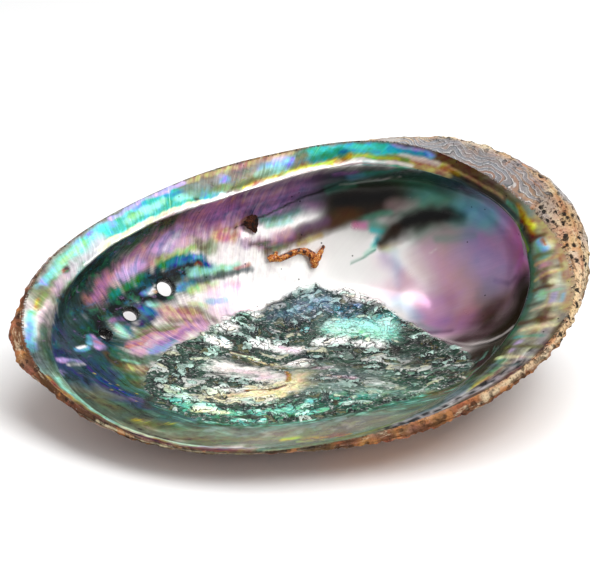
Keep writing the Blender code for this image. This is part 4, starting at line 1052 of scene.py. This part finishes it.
def build_shell():
    """The shell's inside and outside with their relief, and their values stored at the points."""
    angle, share = chart_grid()
    dressed = [np.concatenate(pair) for pair in zip(dress_inside(angle, share), dress_outside(angle, share))]
    points, rise, coat, cover, streaks, fields = dressed
    mesh = weld_faces(points[:len(share)], points[len(share):])
    row = np.empty(len(mesh.vertices), dtype=np.int32)
    mesh.attributes["row"].data.foreach_get("value", row)
    normal = np.array([n.vector for n in mesh.vertex_normals])
    world = np.array(to_world())
    risen = points[row] + normal * rise[row][:, None]
    placed = risen @ world[:3, :3].T + world[:3, 3]
    placed[:, 2] = np.maximum(placed[:, 2], 0.0)
    mesh.vertices.foreach_set("co", placed.ravel())
    for name, values in (("paint", coat), ("cover", cover)):
        four = np.ones((len(row), 4))
        four[:, :values.shape[1]] = values[row]
        mesh.attributes.new(name, "FLOAT_COLOR", "POINT").data.foreach_set("color", four.ravel())
    for name, values in (("streaks", streaks), ("plates", fields)):
        mesh.attributes.new(name, "FLOAT_VECTOR", "POINT").data.foreach_set("vector", values[row].ravel())
    mesh.update()
    body = bpy.data.objects.new("shell_both", mesh)
    bpy.context.scene.collection.objects.link(body)
    cut_open_pores(body)
    return part_sides(body, len(share))


shell_nacre, shell_crust = build_shell()
for piece in (shell_nacre, shell_crust):
    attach(piece, "root")
    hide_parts("shell")


class Signal:
    """A socket's value in an expression, which adds its nodes to the material."""

    def __init__(self, tree, socket=None):
        self.tree, self.socket = tree, socket

    def node(self, kind, settings=None, inputs=None, output=0):
        """A new node of a kind: its settings first, then the values or links of its sockets."""
        made = self.tree.nodes.new(kind)
        for name, value in (settings or {}).items():
            if name == "stops":
                made.color_ramp.interpolation = "CONSTANT"
                ramp = made.color_ramp.elements
                while len(ramp) < len(value):
                    ramp.new(1.0)
                for stop, (place, colour) in zip(ramp, value):
                    stop.position, stop.color = place, (*colour, 1.0)
            else:
                setattr(made, name, value)
        for name, value in (inputs or {}).items():
            if isinstance(value, Signal):
                self.tree.links.new(value.socket, made.inputs[name])
            else:
                made.inputs[name].default_value = value
        return Signal(self.tree, made.outputs[output])

    def maths(self, operation, *terms):
        """Result of a Math node with the given terms."""
        return self.node("ShaderNodeMath", {"operation": operation}, dict(enumerate(terms)))

    def __add__(self, other):
        return self.maths("ADD", self, other)

    __radd__ = __add__

    def __sub__(self, other):
        return self.maths("SUBTRACT", self, other)

    def __rsub__(self, other):
        return self.maths("SUBTRACT", other, self)

    def __mul__(self, other):
        return self.maths("MULTIPLY", self, other)

    __rmul__ = __mul__

    def larger(self, other):
        """The larger of this signal and another."""
        return self.maths("MAXIMUM", self, other)

    def whole(self):
        """The whole number at or below this signal."""
        return self.maths("FLOOR", self)

    def fraction(self):
        """What is left above the whole number."""
        return self.maths("FRACT", self)

    def sine(self):
        return self.maths("SINE", self)

    def fade(self, start, end):
        """0 below start and 1 above end, with an even curve between."""
        return self.node("ShaderNodeMapRange", {"interpolation_type": "SMOOTHSTEP"},
                         {"Value": self, "From Min": start, "From Max": end})

    def mix(self, off, on):
        """Colour that goes from off to on as this signal goes from 0 to 1."""
        return self.node("ShaderNodeMix", {"data_type": "RGBA"}, {0: self, 6: off, 7: on}, 2)

    def scaled(self, x, y, z):
        """This vector with each axis scaled."""
        return self.node("ShaderNodeVectorMath", {"operation": "MULTIPLY"}, {0: self, 1: (x, y, z)})

    def shifted(self, other, amount):
        """This vector with another added, scaled by amount."""
        return self.node("ShaderNodeVectorMath", {"operation": "MULTIPLY_ADD"},
                         {0: other, 1: (amount,) * 3, 2: self})

    def noise(self, scale, detail=3.0, roughness=0.55, output=0):
        """Noise at this place; output 1 is its colour, which serves as a vector."""
        return self.node("ShaderNodeTexNoise", None, {"Vector": self, "Scale": scale, "Detail": detail,
                                                      "Roughness": roughness}, output)

    def cells(self, scale, feature="F1", output=0):
        """Voronoi cells at this place: output 0 is the distance, and 1 the cell's random colour."""
        return self.node("ShaderNodeTexVoronoi", {"feature": feature},
                         {"Vector": self, "Scale": scale}, output)

    def channel(self, number):
        """One number of this colour."""
        return self.node("ShaderNodeSeparateColor", None, {0: self}, number)

    def axis(self, number):
        """One number of this vector."""
        return self.node("ShaderNodeSeparateXYZ", None, {0: self}, number)

    def from_stops(self, stops):
        """Colour of the step of a ramp that this signal falls in."""
        return self.node("ShaderNodeValToRGB", {"stops": stops}, {"Fac": self})

    def varied(self, hue, saturation, value):
        """This colour with its hue shifted and its saturation and value scaled."""
        return self.node("ShaderNodeHueSaturation", None,
                         {"Hue": hue, "Saturation": saturation, "Value": value, "Color": self})


def colour_of(rgb):
    """Socket value of a colour given out of 255."""
    return (*tint(rgb), 1.0)


def start_material(name):
    """A new material, its shader, and a signal to begin expressions with."""
    material = bpy.data.materials.new(name)
    material.use_nodes = True
    return material, material.node_tree.nodes["Principled BSDF"], Signal(material.node_tree)


def feed(shader, name, signal):
    """Link a signal to one of the shader's sockets."""
    signal.tree.links.new(signal.socket, shader.inputs[name])


def feed_relief(shader, new, height, strength, distance):
    """Fine relief in the shading, from a signal of its height."""
    relief = {"Strength": strength, "Distance": distance, "Height": height}
    feed(shader, "Normal", new.node("ShaderNodeBump", None, relief))


def place_in_mm(new):
    """Place on the piece, in millimetres."""
    return new.node("ShaderNodeTexCoord", None, None, 3).scaled(1 / MM, 1 / MM, 1 / MM)


def start_shell_material(name):
    """A material of the shell, with the values that are stored at its points."""
    material, shader, new = start_material(name)
    paint = new.node("ShaderNodeAttribute", {"attribute_name": "paint"}, None, 0)
    cover = new.node("ShaderNodeAttribute", {"attribute_name": "cover"}, None, 0)
    flecks = new.node("ShaderNodeAttribute", {"attribute_name": "cover"}, None, 3)
    streaks = new.node("ShaderNodeAttribute", {"attribute_name": "streaks"}, None, 1)
    plates = new.node("ShaderNodeAttribute", {"attribute_name": "plates"}, None, 1)
    covers = [cover.channel(i) for i in range(3)] + [flecks]
    return material, shader, new, paint, covers, streaks, plates, place_in_mm(new)


# Colours of the scar's bright and dark plates: where each begins among the plates' random values.
FLAKE_STOPS = ((0.0, tint(WHITE)), (0.24, tint(ICE)), (0.40, tint(CREAM)), (0.56, tint(WHITE)),
               (0.70, tint(MINT)), (0.82, tint(PEARL)), (0.94, tint(AQUA)))
SHADE_STOPS = ((0.0, tint(BOTTLE)), (0.3, tint(UMBER)), (0.5, tint(DEEP_TEAL)), (0.65, tint(OLIVE)),
               (0.8, tint(INK)))
# Glints in the dark nacre: colour, how the noise is mirrored, its scale, where it starts and is
# full, and the most that it covers.
GLINTS = ((EMERALD, (1, 1, 1), 0.16, 0.52, 0.66, 0.45), (PEACOCK, (1, 1, -1), 0.20, 0.55, 0.68, 0.45),
          (INK, (-1, 1, 1), 0.30, 0.52, 0.62, 0.7), (VIOLET, (1, -1, 1), 0.30, 0.60, 0.70, 0.35))


def finish_nacre():
    """Nacre with hair streaks and a soft gloss, and the scar's broken plates."""
    material, shader, new, paint, covers, streaks, plates, place = start_shell_material("nacre")
    scar, hairs, along, flecks = covers
    lightness = paint.channel(1)

    # fine hairs across the lip and along the near wall, and slow changes of hue
    def combed_noise(stretch, scale, detail):
        across = streaks.scaled(1, 1, stretch).noise(scale, detail, 0.6)
        lengthwise = streaks.scaled(stretch, stretch, 1).noise(scale, detail, 0.6)
        return across + along * (lengthwise - across)
    hair = combed_noise(0.08, 1.3, 4.0)
    band = combed_noise(0.12, 0.40, 3.0)
    cloud = place.noise(0.14, 3.0)
    ripple = place.noise(0.5, 4.0, 0.6)
    strength = hairs * (1.15 - 0.8 * lightness) * (1 + 0.9 * along)
    mottle = hairs.fade(0.12, 0.25) * (place.noise(0.28, 4.0, 0.6) - 0.5)
    hue = 0.5 + hairs * 0.42 * (band - 0.5) + 0.14 * (cloud - 0.5)
    hue = hue + hairs * 0.18 * (ripple - 0.5) + 0.25 * mottle
    stripes = 1.2 * (hair - 0.5) + 1.0 * (band - 0.5) + 0.7 * (ripple - 0.5)
    light = 0.80 + 0.20 * lightness.fade(0.5, 0.9) + 0.7 * mottle + strength * stripes
    colour = paint.varied(hue, 1.15, light)
    # white painted glints on the brightest hairs
    colour = (hair.fade(0.60, 0.74) * 0.55 * hairs * lightness).mix(colour, colour_of(WHITE))

    # glints of green, blue and violet in the dark parts, and flecks along the near wall
    dark = (1 - lightness.fade(0.04, 0.22)) * hairs.fade(0.4, 1.0) * (1 - along)
    glint = place.scaled(1.0, 1.0, 1.6).shifted(place.noise(0.25, 3.0, 0.6, 1), 4.0)
    for glint_colour, mirror, scale, start, end, most in GLINTS:
        shine = glint.scaled(*mirror).noise(scale, 4.0, 0.6).fade(start, end)
        colour = (shine * dark * most).mix(colour, colour_of(glint_colour))
    fleck = streaks.scaled(0.13, 0.13, 0.8).noise(0.75, 4.0, 0.65)
    colour = (fleck.fade(0.54, 0.61) * flecks * 0.85).mix(colour, colour_of(SEA))
    colour = (fleck.fade(0.61, 0.66) * flecks * 0.8).mix(colour, colour_of(MINT))
    colour = ((1 - fleck.fade(0.38, 0.46)) * flecks * 0.8).mix(colour, colour_of(BOTTLE))

    # scar: plates with grooves between them, finely crazed; the ink in the grooves and cracks is painted
    # shade
    first, second = (plates.axis(i) + 0.16 * (ripple - 0.5) for i in range(2))
    broken = 1 - 0.85 * plates.axis(2)
    phase = first.whole() * 12.99 + second.whole() * 78.23
    tone = (phase.sine() * 97.3).fraction()
    other_tone = ((phase * 1.37).sine() * 53.1).fraction()
    edge = (1 - first.fraction().fade(0.06, 0.20)).larger(1 - second.fraction().fade(0.05, 0.16))
    flake_tint = other_tone.from_stops(FLAKE_STOPS)
    shade_tint = other_tone.from_stops(SHADE_STOPS)
    lean = tone + 1.5 * (lightness - 0.30) + 0.5 * (ripple - 0.5) + 0.6 * (place.noise(0.09, 3.0) - 0.5)
    crumb = place.scaled(0.6, 1.5, 1.2).noise(1.3, 5.0, 0.75)
    scar_colour = paint.varied(0.5 + 0.30 * (place.noise(0.35, 3.0) - 0.5), 1.35, 1.0)
    bright_paint = paint.varied(0.5, 1.1, 1.9)
    flake_colour = (0.35 + 0.3 * ripple).mix(flake_tint, bright_paint)
    scar_colour = (lean.fade(0.56, 0.66) * 0.9 * broken).mix(scar_colour, flake_colour)
    scar_colour = ((1 - lean.fade(0.18, 0.34)) * 0.85 * broken).mix(scar_colour, shade_tint)
    scar_colour = scar_colour.varied(0.5, 1.0, 0.25 + 1.8 * crumb)
    groove_shade = edge * place.noise(0.35, 3.0).fade(0.34, 0.46)
    scar_colour = (groove_shade * 0.95 * broken).mix(scar_colour, colour_of(INK))
    bent = place.scaled(0.8, 1.3, 1.0).shifted(place.noise(0.6, 3.0, 0.6, 1), 2.0)
    crack = bent.cells(0.85, "DISTANCE_TO_EDGE")
    crazed = (1 - crack.fade(0.02, 0.13)) * place.noise(0.3, 3.0).fade(0.44, 0.56)
    scar_colour = (crazed * 0.8 * broken).mix(scar_colour, colour_of(INK))
    scar_colour = (crumb.fade(0.55, 0.66) * 0.7).mix(scar_colour, colour_of(WHITE))
    scar_colour = ((1 - crumb.fade(0.32, 0.42)) * 0.6 * broken).mix(scar_colour, colour_of(UMBER))
    colour = (scar * 1.5 + tone * 0.6 - 0.6).fade(0.0, 0.5).mix(colour, scar_colour)

    # tiny dark specks
    speck = place.cells(0.30)
    speck_pick = place.cells(0.30, "F1", 1).channel(1)
    specks = (1 - speck.fade(0.06, 0.11)) * speck_pick.fade(0.70, 0.72) * (1 - scar)
    colour = (specks * 0.85).mix(colour, colour_of(INK))
    feed(shader, "Base Color", colour)
    feed(shader, "Roughness", 0.24 + 0.14 * scar + 0.16 * (cloud - 0.5))
    feed(shader, "Coat Weight", 0.18 * (1 - scar) * (1 - 0.9 * along) * (0.3 + 0.7 * lightness))
    feed(shader, "Metallic", (0.35 - 0.30 * along) * (1 - 0.5 * lightness.fade(0.5, 0.9)))
    shader.inputs["Coat Roughness"].default_value = 0.10
    shader.inputs["Specular IOR Level"].default_value = 0.30
    height = (0.05 + 0.10 * hairs) * hair * (1 - scar) + scar * (0.55 * crumb - 0.45 * edge - 0.2 * crazed)
    feed_relief(shader, new, height, 0.7, 0.6 * MM)
    return material


def finish_crust():
    """Dull layered crust with pits and stains, and an agate-like patch worn smooth."""
    material, shader, new, paint, (agate, porous, *_), streaks, plates, place = start_shell_material("crust")
    cloud = place.noise(0.16, 4.0)
    layer = streaks.scaled(0.12, 0.12, 1).noise(0.9, 5.0, 0.7)
    wide_layer = streaks.scaled(0.08, 0.08, 1).noise(0.3, 3.0, 0.6)
    grit = place.noise(1.1, 6.0, 0.75)
    bent = place.shifted(place.noise(0.6, 3.0, 0.6, 1), 2.2)
    pit = bent.cells(0.45)
    pit_pick = bent.cells(0.45, "F1", 1).channel(2)
    pits = (1 - pit.fade(0.26, 0.44)) * pit_pick.fade(0.46, 0.52)
    holes = (1 - bent.cells(1.0).fade(0.22, 0.42)) * bent.cells(1.0, "F1", 1).channel(0).fade(0.5, 0.56)
    holes = holes * porous
    light = 0.25 + 1.0 * layer + 0.6 * wide_layer + 0.15 * porous
    colour = paint.varied(0.5 + 0.10 * (cloud - 0.5), 1.0, light)
    colour = (layer.fade(0.55, 0.64) * 0.65).mix(colour, colour_of(SAND))
    colour = ((1 - layer.fade(0.36, 0.46)) * 0.75).mix(colour, colour_of(BROWN))
    colour = ((1 - grit.fade(0.36, 0.50)) * 0.70).mix(colour, colour_of(BROWN))
    colour = (grit.fade(0.60, 0.70) * 0.45).mix(colour, colour_of(CHALK))
    colour = (place.noise(0.22, 4.0).fade(0.58, 0.66) * 0.55).mix(colour, colour_of(ORANGE))
    colour = (place.noise(0.35, 2.0).fade(0.66, 0.70) * 0.6).mix(colour, colour_of(BRICK))
    colour = (holes * 0.85).mix(colour, colour_of(UMBER))
    colour = (pits * (0.4 + 0.6 * porous) * 0.95).mix(colour, colour_of(INK))

    # agate-like patch: contour lines of grey and white
    contour = plates.axis(0) + 0.5 * (grit - 0.5)
    turn = contour.fraction()
    slow_turn = (contour * 0.5).fraction()
    agate_colour = (slow_turn.fade(0.30, 0.60) * 0.85).mix(paint, colour_of(STEEL))
    agate_colour = ((1 - turn.fade(0.08, 0.26)) * 0.8).mix(agate_colour, colour_of(SLATE))
    agate_colour = (turn.fade(0.75, 0.95) * (0.2 + 1.2 * cloud) * 0.8).mix(agate_colour, colour_of(WHITE))
    agate_colour = ((1 - grit.fade(0.38, 0.48)) * 0.7).mix(agate_colour, colour_of(STONE))
    agate_colour = (cloud.fade(0.56, 0.66) * 0.35).mix(agate_colour, colour_of(CHALK))
    colour = agate.mix(colour, agate_colour)
    feed(shader, "Base Color", colour)
    feed(shader, "Roughness", 0.85 - 0.40 * agate)
    shader.inputs["Specular IOR Level"].default_value = 0.25
    crust_height = 0.6 * layer + 0.7 * grit - 1.0 * pits - 0.6 * holes
    height = (1 - agate) * crust_height + agate * (0.15 * grit + 0.12 * turn)
    feed_relief(shader, new, height, 0.9, 1.2 * MM)
    return material


shell_nacre.data.materials.append(finish_nacre())
shell_crust.data.materials.append(finish_crust())


# The long scrap is a strand of tissue that dried on the nacre, amber and glossy, bent into a hook at
# one end and with a short tail. It is stuck where its underside touches.
AMBER = (186, 92, 22)
AMBER_DARK = (58, 18, 6)
# the lightest amber, painted on as highlights
AMBER_PAINTED_HIGHLIGHT = (250, 196, 110)
SCRAP_GAP = 0.3                         # between the nacre and the underside of a scrap
SKIN_VOXEL = 0.14
# Points of the strand and of what branches from it: a, b, lift off the nacre and half thickness.
SCRAP_STRAND = ((-11.2, 37.8, 0.0, 1.0), (-10.4, 38.4, 0.2, 1.2), (-7.6, 39.1, 0.1, 1.05),
                (-5.2, 40.4, 0.2, 1.1), (-3.0, 41.7, 0.3, 1.05), (-0.8, 42.5, 0.3, 1.05),
                (1.4, 42.6, 0.3, 1.2), (2.8, 41.6, 0.3, 1.35), (3.4, 40.4, 0.1, 1.35), (3.2, 39.4, 0.0, 0.9))
SCRAP_TAIL = ((3.0, 40.2, 0.3, 1.0), (4.4, 41.9, 0.7, 1.0), (5.6, 43.7, 0.6, 0.85), (6.8, 45.0, 0.3, 0.6))
SCRAP_KNOB = ((-9.6, 38.6, 0.4, 0.8), (-8.6, 40.4, 0.4, 0.5))
SCRAP_BACK = ((-0.6, 42.2, 0.3, 0.9), (2.0, 42.8, 0.3, 0.8), (4.2, 42.0, 0.3, 0.8))


def strand_mesh(points):
    """A strand along points on the inner face, each with its lift and half thickness."""
    strand = bpy.data.curves.new("strand", "CURVE")
    strand.dimensions = "3D"
    strand.bevel_depth = MM
    strand.bevel_resolution = 6
    strand.resolution_u = 6
    strand.use_fill_caps = True
    line = strand.splines.new("BEZIER")
    line.bezier_points.add(len(points) - 1)
    for point, (a, b, lift, half) in zip(line.bezier_points, points):
        place, normal = on_inner_face(a, b)
        point.co = to_world() @ (place + normal * (SCRAP_GAP + half + lift))
        point.handle_left_type = point.handle_right_type = "AUTO"
        point.radius = half
    guide = bpy.data.objects.new("strand", strand)
    bpy.context.scene.collection.objects.link(guide)
    mesh = bpy.data.meshes.new_from_object(guide.evaluated_get(bpy.context.evaluated_depsgraph_get()))
    bpy.data.objects.remove(guide)
    return mesh


def wrinkle(mesh, size, amount, seed):
    """Push a mesh's points in and out along their normals with noise, as dried skin does."""
    normals = [v.vector.copy() for v in mesh.vertex_normals]
    for vert, normal in zip(mesh.vertices, normals):
        spot = vert.co / (size * MM) + Vector((seed, 0, 0))
        vert.co += normal * amount * MM * (noise.noise(spot) + 0.5 * noise.noise(spot * 2.3))


def build_long_scrap():
    """The strand and its three branches joined, remeshed as one skin and wrinkled."""
    joined = bmesh.new()
    for points in (SCRAP_STRAND, SCRAP_TAIL, SCRAP_KNOB, SCRAP_BACK):
        joined.from_mesh(strand_mesh(points))
    mesh = bpy.data.meshes.new("dried_scrap_strand")
    joined.to_mesh(mesh)
    joined.free()
    scrap = bpy.data.objects.new("dried_scrap_strand", mesh)
    bpy.context.scene.collection.objects.link(scrap)
    skin = scrap.modifiers.new("skin", "REMESH")
    skin.mode = "VOXEL"
    skin.voxel_size = SKIN_VOXEL * MM
    scrap.data = bpy.data.meshes.new_from_object(scrap.evaluated_get(bpy.context.evaluated_depsgraph_get()))
    scrap.modifiers.clear()
    wrinkle(scrap.data, 1.1, 0.22, 3.0)
    scrap.data.shade_smooth()
    return scrap


def finish_tissue(name, dark, middle, light, gloss, coat):
    """Dried tissue under a glossy skin: dark and middle blotches from noise, and light patches, also placed
    by noise, that are painted highlights.
    """
    material, shader, new = start_material(name)
    place = place_in_mm(new)
    blotch = place.noise(0.75, 4.0, 0.6)
    vein = place.noise(2.4, 3.0, 0.6)
    colour = blotch.fade(0.40, 0.52).mix(colour_of(dark), colour_of(middle))
    colour = (vein.fade(0.48, 0.62) * blotch.fade(0.46, 0.58)).mix(colour, colour_of(light))
    feed(shader, "Base Color", colour)
    feed(shader, "Roughness", gloss + 0.25 * vein)
    shader.inputs["Coat Weight"].default_value = coat
    shader.inputs["Specular IOR Level"].default_value = 0.25
    shader.inputs["Coat Roughness"].default_value = 0.15
    feed_relief(shader, new, vein, 0.6, 0.3 * MM)
    return material


long_scrap = build_long_scrap()
long_scrap.data.materials.clear()
amber = finish_tissue("dried_tissue_amber", AMBER_DARK, AMBER, AMBER_PAINTED_HIGHLIGHT, 0.2, 0.5)
long_scrap.data.materials.append(amber)
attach(long_scrap, "root")
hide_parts("dried_scrap_long")


# The chip is a flake of the same dried tissue, dark brown, with a broken and notched edge. It is
# stuck flat on the far wall beside the strand.
CHIP_BROWN = (52, 22, 12)
CHIP_DARK = (16, 7, 6)
# the lightest brown, painted on as highlights
CHIP_PAINTED_HIGHLIGHT = (104, 54, 28)
CHIP_PLACE = (-15.5, 44.7)
CHIP_HALF = (2.0, 2.5, 0.5)
CHIP_ROUGHNESS = 0.5


def build_chip():
    """A flat flake, broken at the edge, wider at its top."""
    flake = bmesh.new()
    bmesh.ops.create_icosphere(flake, subdivisions=5, radius=1.0)
    for vert in flake.verts:
        vert.co *= 1 + CHIP_ROUGHNESS * noise.noise(vert.co * 1.6) + 0.25 * noise.noise(vert.co * 4.1)
        vert.co.x *= 1 + 0.65 * vert.co.y
    place, normal = on_inner_face(*CHIP_PLACE)
    turned = normal.to_track_quat("Z", "Y").to_matrix().to_4x4()
    lift = SCRAP_GAP + 1.6 * CHIP_HALF[2]
    seat = to_world() @ Matrix.Translation(place + normal * lift) @ turned
    flake.transform(seat @ Matrix.Diagonal((*CHIP_HALF, 1.0)))
    mesh = bpy.data.meshes.new("dried_scrap_flake")
    flake.to_mesh(mesh)
    flake.free()
    wrinkle(mesh, 0.8, 0.12, 8.0)
    mesh.shade_smooth()
    chip = bpy.data.objects.new("dried_scrap_flake", mesh)
    bpy.context.scene.collection.objects.link(chip)
    return chip


chip = build_chip()
chip.data.materials.append(finish_tissue("dried_tissue_brown", CHIP_DARK, CHIP_BROWN, CHIP_PAINTED_HIGHLIGHT, 0.6, 0.0))
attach(chip, "root")
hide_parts("dried_scrap_chip")


# The floor is a plain sheet of matt white, wide enough to fill the picture behind the shell. It isn't
# part of the shell.
FLOOR_WHITE = 0.95
FLOOR_HALF = 4.0
sheet = bpy.data.meshes.new("floor")
plane = bmesh.new()
bmesh.ops.create_grid(plane, x_segments=1, y_segments=1, size=FLOOR_HALF)
plane.to_mesh(sheet)
plane.free()
floor = bpy.data.objects.new("floor", sheet)
bpy.context.scene.collection.objects.link(floor)
white, floor_shader, _ = start_material("floor")
floor_shader.inputs["Base Color"].default_value = (FLOOR_WHITE, FLOOR_WHITE, FLOOR_WHITE, 1.0)
floor_shader.inputs["Roughness"].default_value = 0.9
floor_shader.inputs["Specular IOR Level"].default_value = 0.0
sheet.materials.append(white)


# The light is a plain white room with three soft boxes: one over the shell, a smaller key lamp high
# on the right and to the front, and a weak one low at the front right.
ROOM_LIGHT = 0.52


def soft_box(name, place, aim, size, power):
    """A rectangular lamp, turned towards the point that it lights."""
    lamp = bpy.data.lights.new(name, "AREA")
    lamp.shape = "RECTANGLE"
    lamp.size, lamp.size_y = size
    lamp.energy = power
    box = bpy.data.objects.new(name, lamp)
    box.location = place
    box.rotation_euler = (Vector(aim) - Vector(place)).to_track_quat("-Z", "Y").to_euler()
    bpy.context.scene.collection.objects.link(box)


room = bpy.data.worlds.new("room")
bpy.context.scene.world = room
room.use_nodes = True
room.node_tree.nodes["Background"].inputs["Color"].default_value = (1, 1, 1, 1)
room.node_tree.nodes["Background"].inputs["Strength"].default_value = ROOM_LIGHT
soft_box("overhead", (0.12, 0.06, 1.0), (0, 0, 0), (0.8, 0.8), 6.3)
soft_box("key", (0.45, -0.42, 0.92), (0, 0, 0.02), (0.5, 0.5), 5.0)
soft_box("front_right", (0.62, -0.72, 0.45), (0, 0, 0.02), (0.35, 0.25), 0.6)


# The camera looks along +Y and down, from the photograph's angle. It aims at a point near the
# middle of the opening.
ELEVATION = math.radians(23.5)
DISTANCE = 0.45
FIELD_OF_VIEW = math.radians(22.0)
AIM = Vector((0.8, -0.33, 0.0))
target = to_world() @ AIM
back = Vector((0, -math.cos(ELEVATION), math.sin(ELEVATION)))
camera = bpy.data.objects.new("camera", bpy.data.cameras.new("camera"))
camera.data.sensor_fit = "HORIZONTAL"
camera.data.angle = FIELD_OF_VIEW
camera.data.clip_end = 50.0
camera.location = target + back * DISTANCE
camera.rotation_euler = (-back).to_track_quat("-Z", "Y").to_euler()
bpy.context.scene.collection.objects.link(camera)
bpy.context.scene.camera = camera
bpy.context.scene.view_settings.view_transform = "Standard"
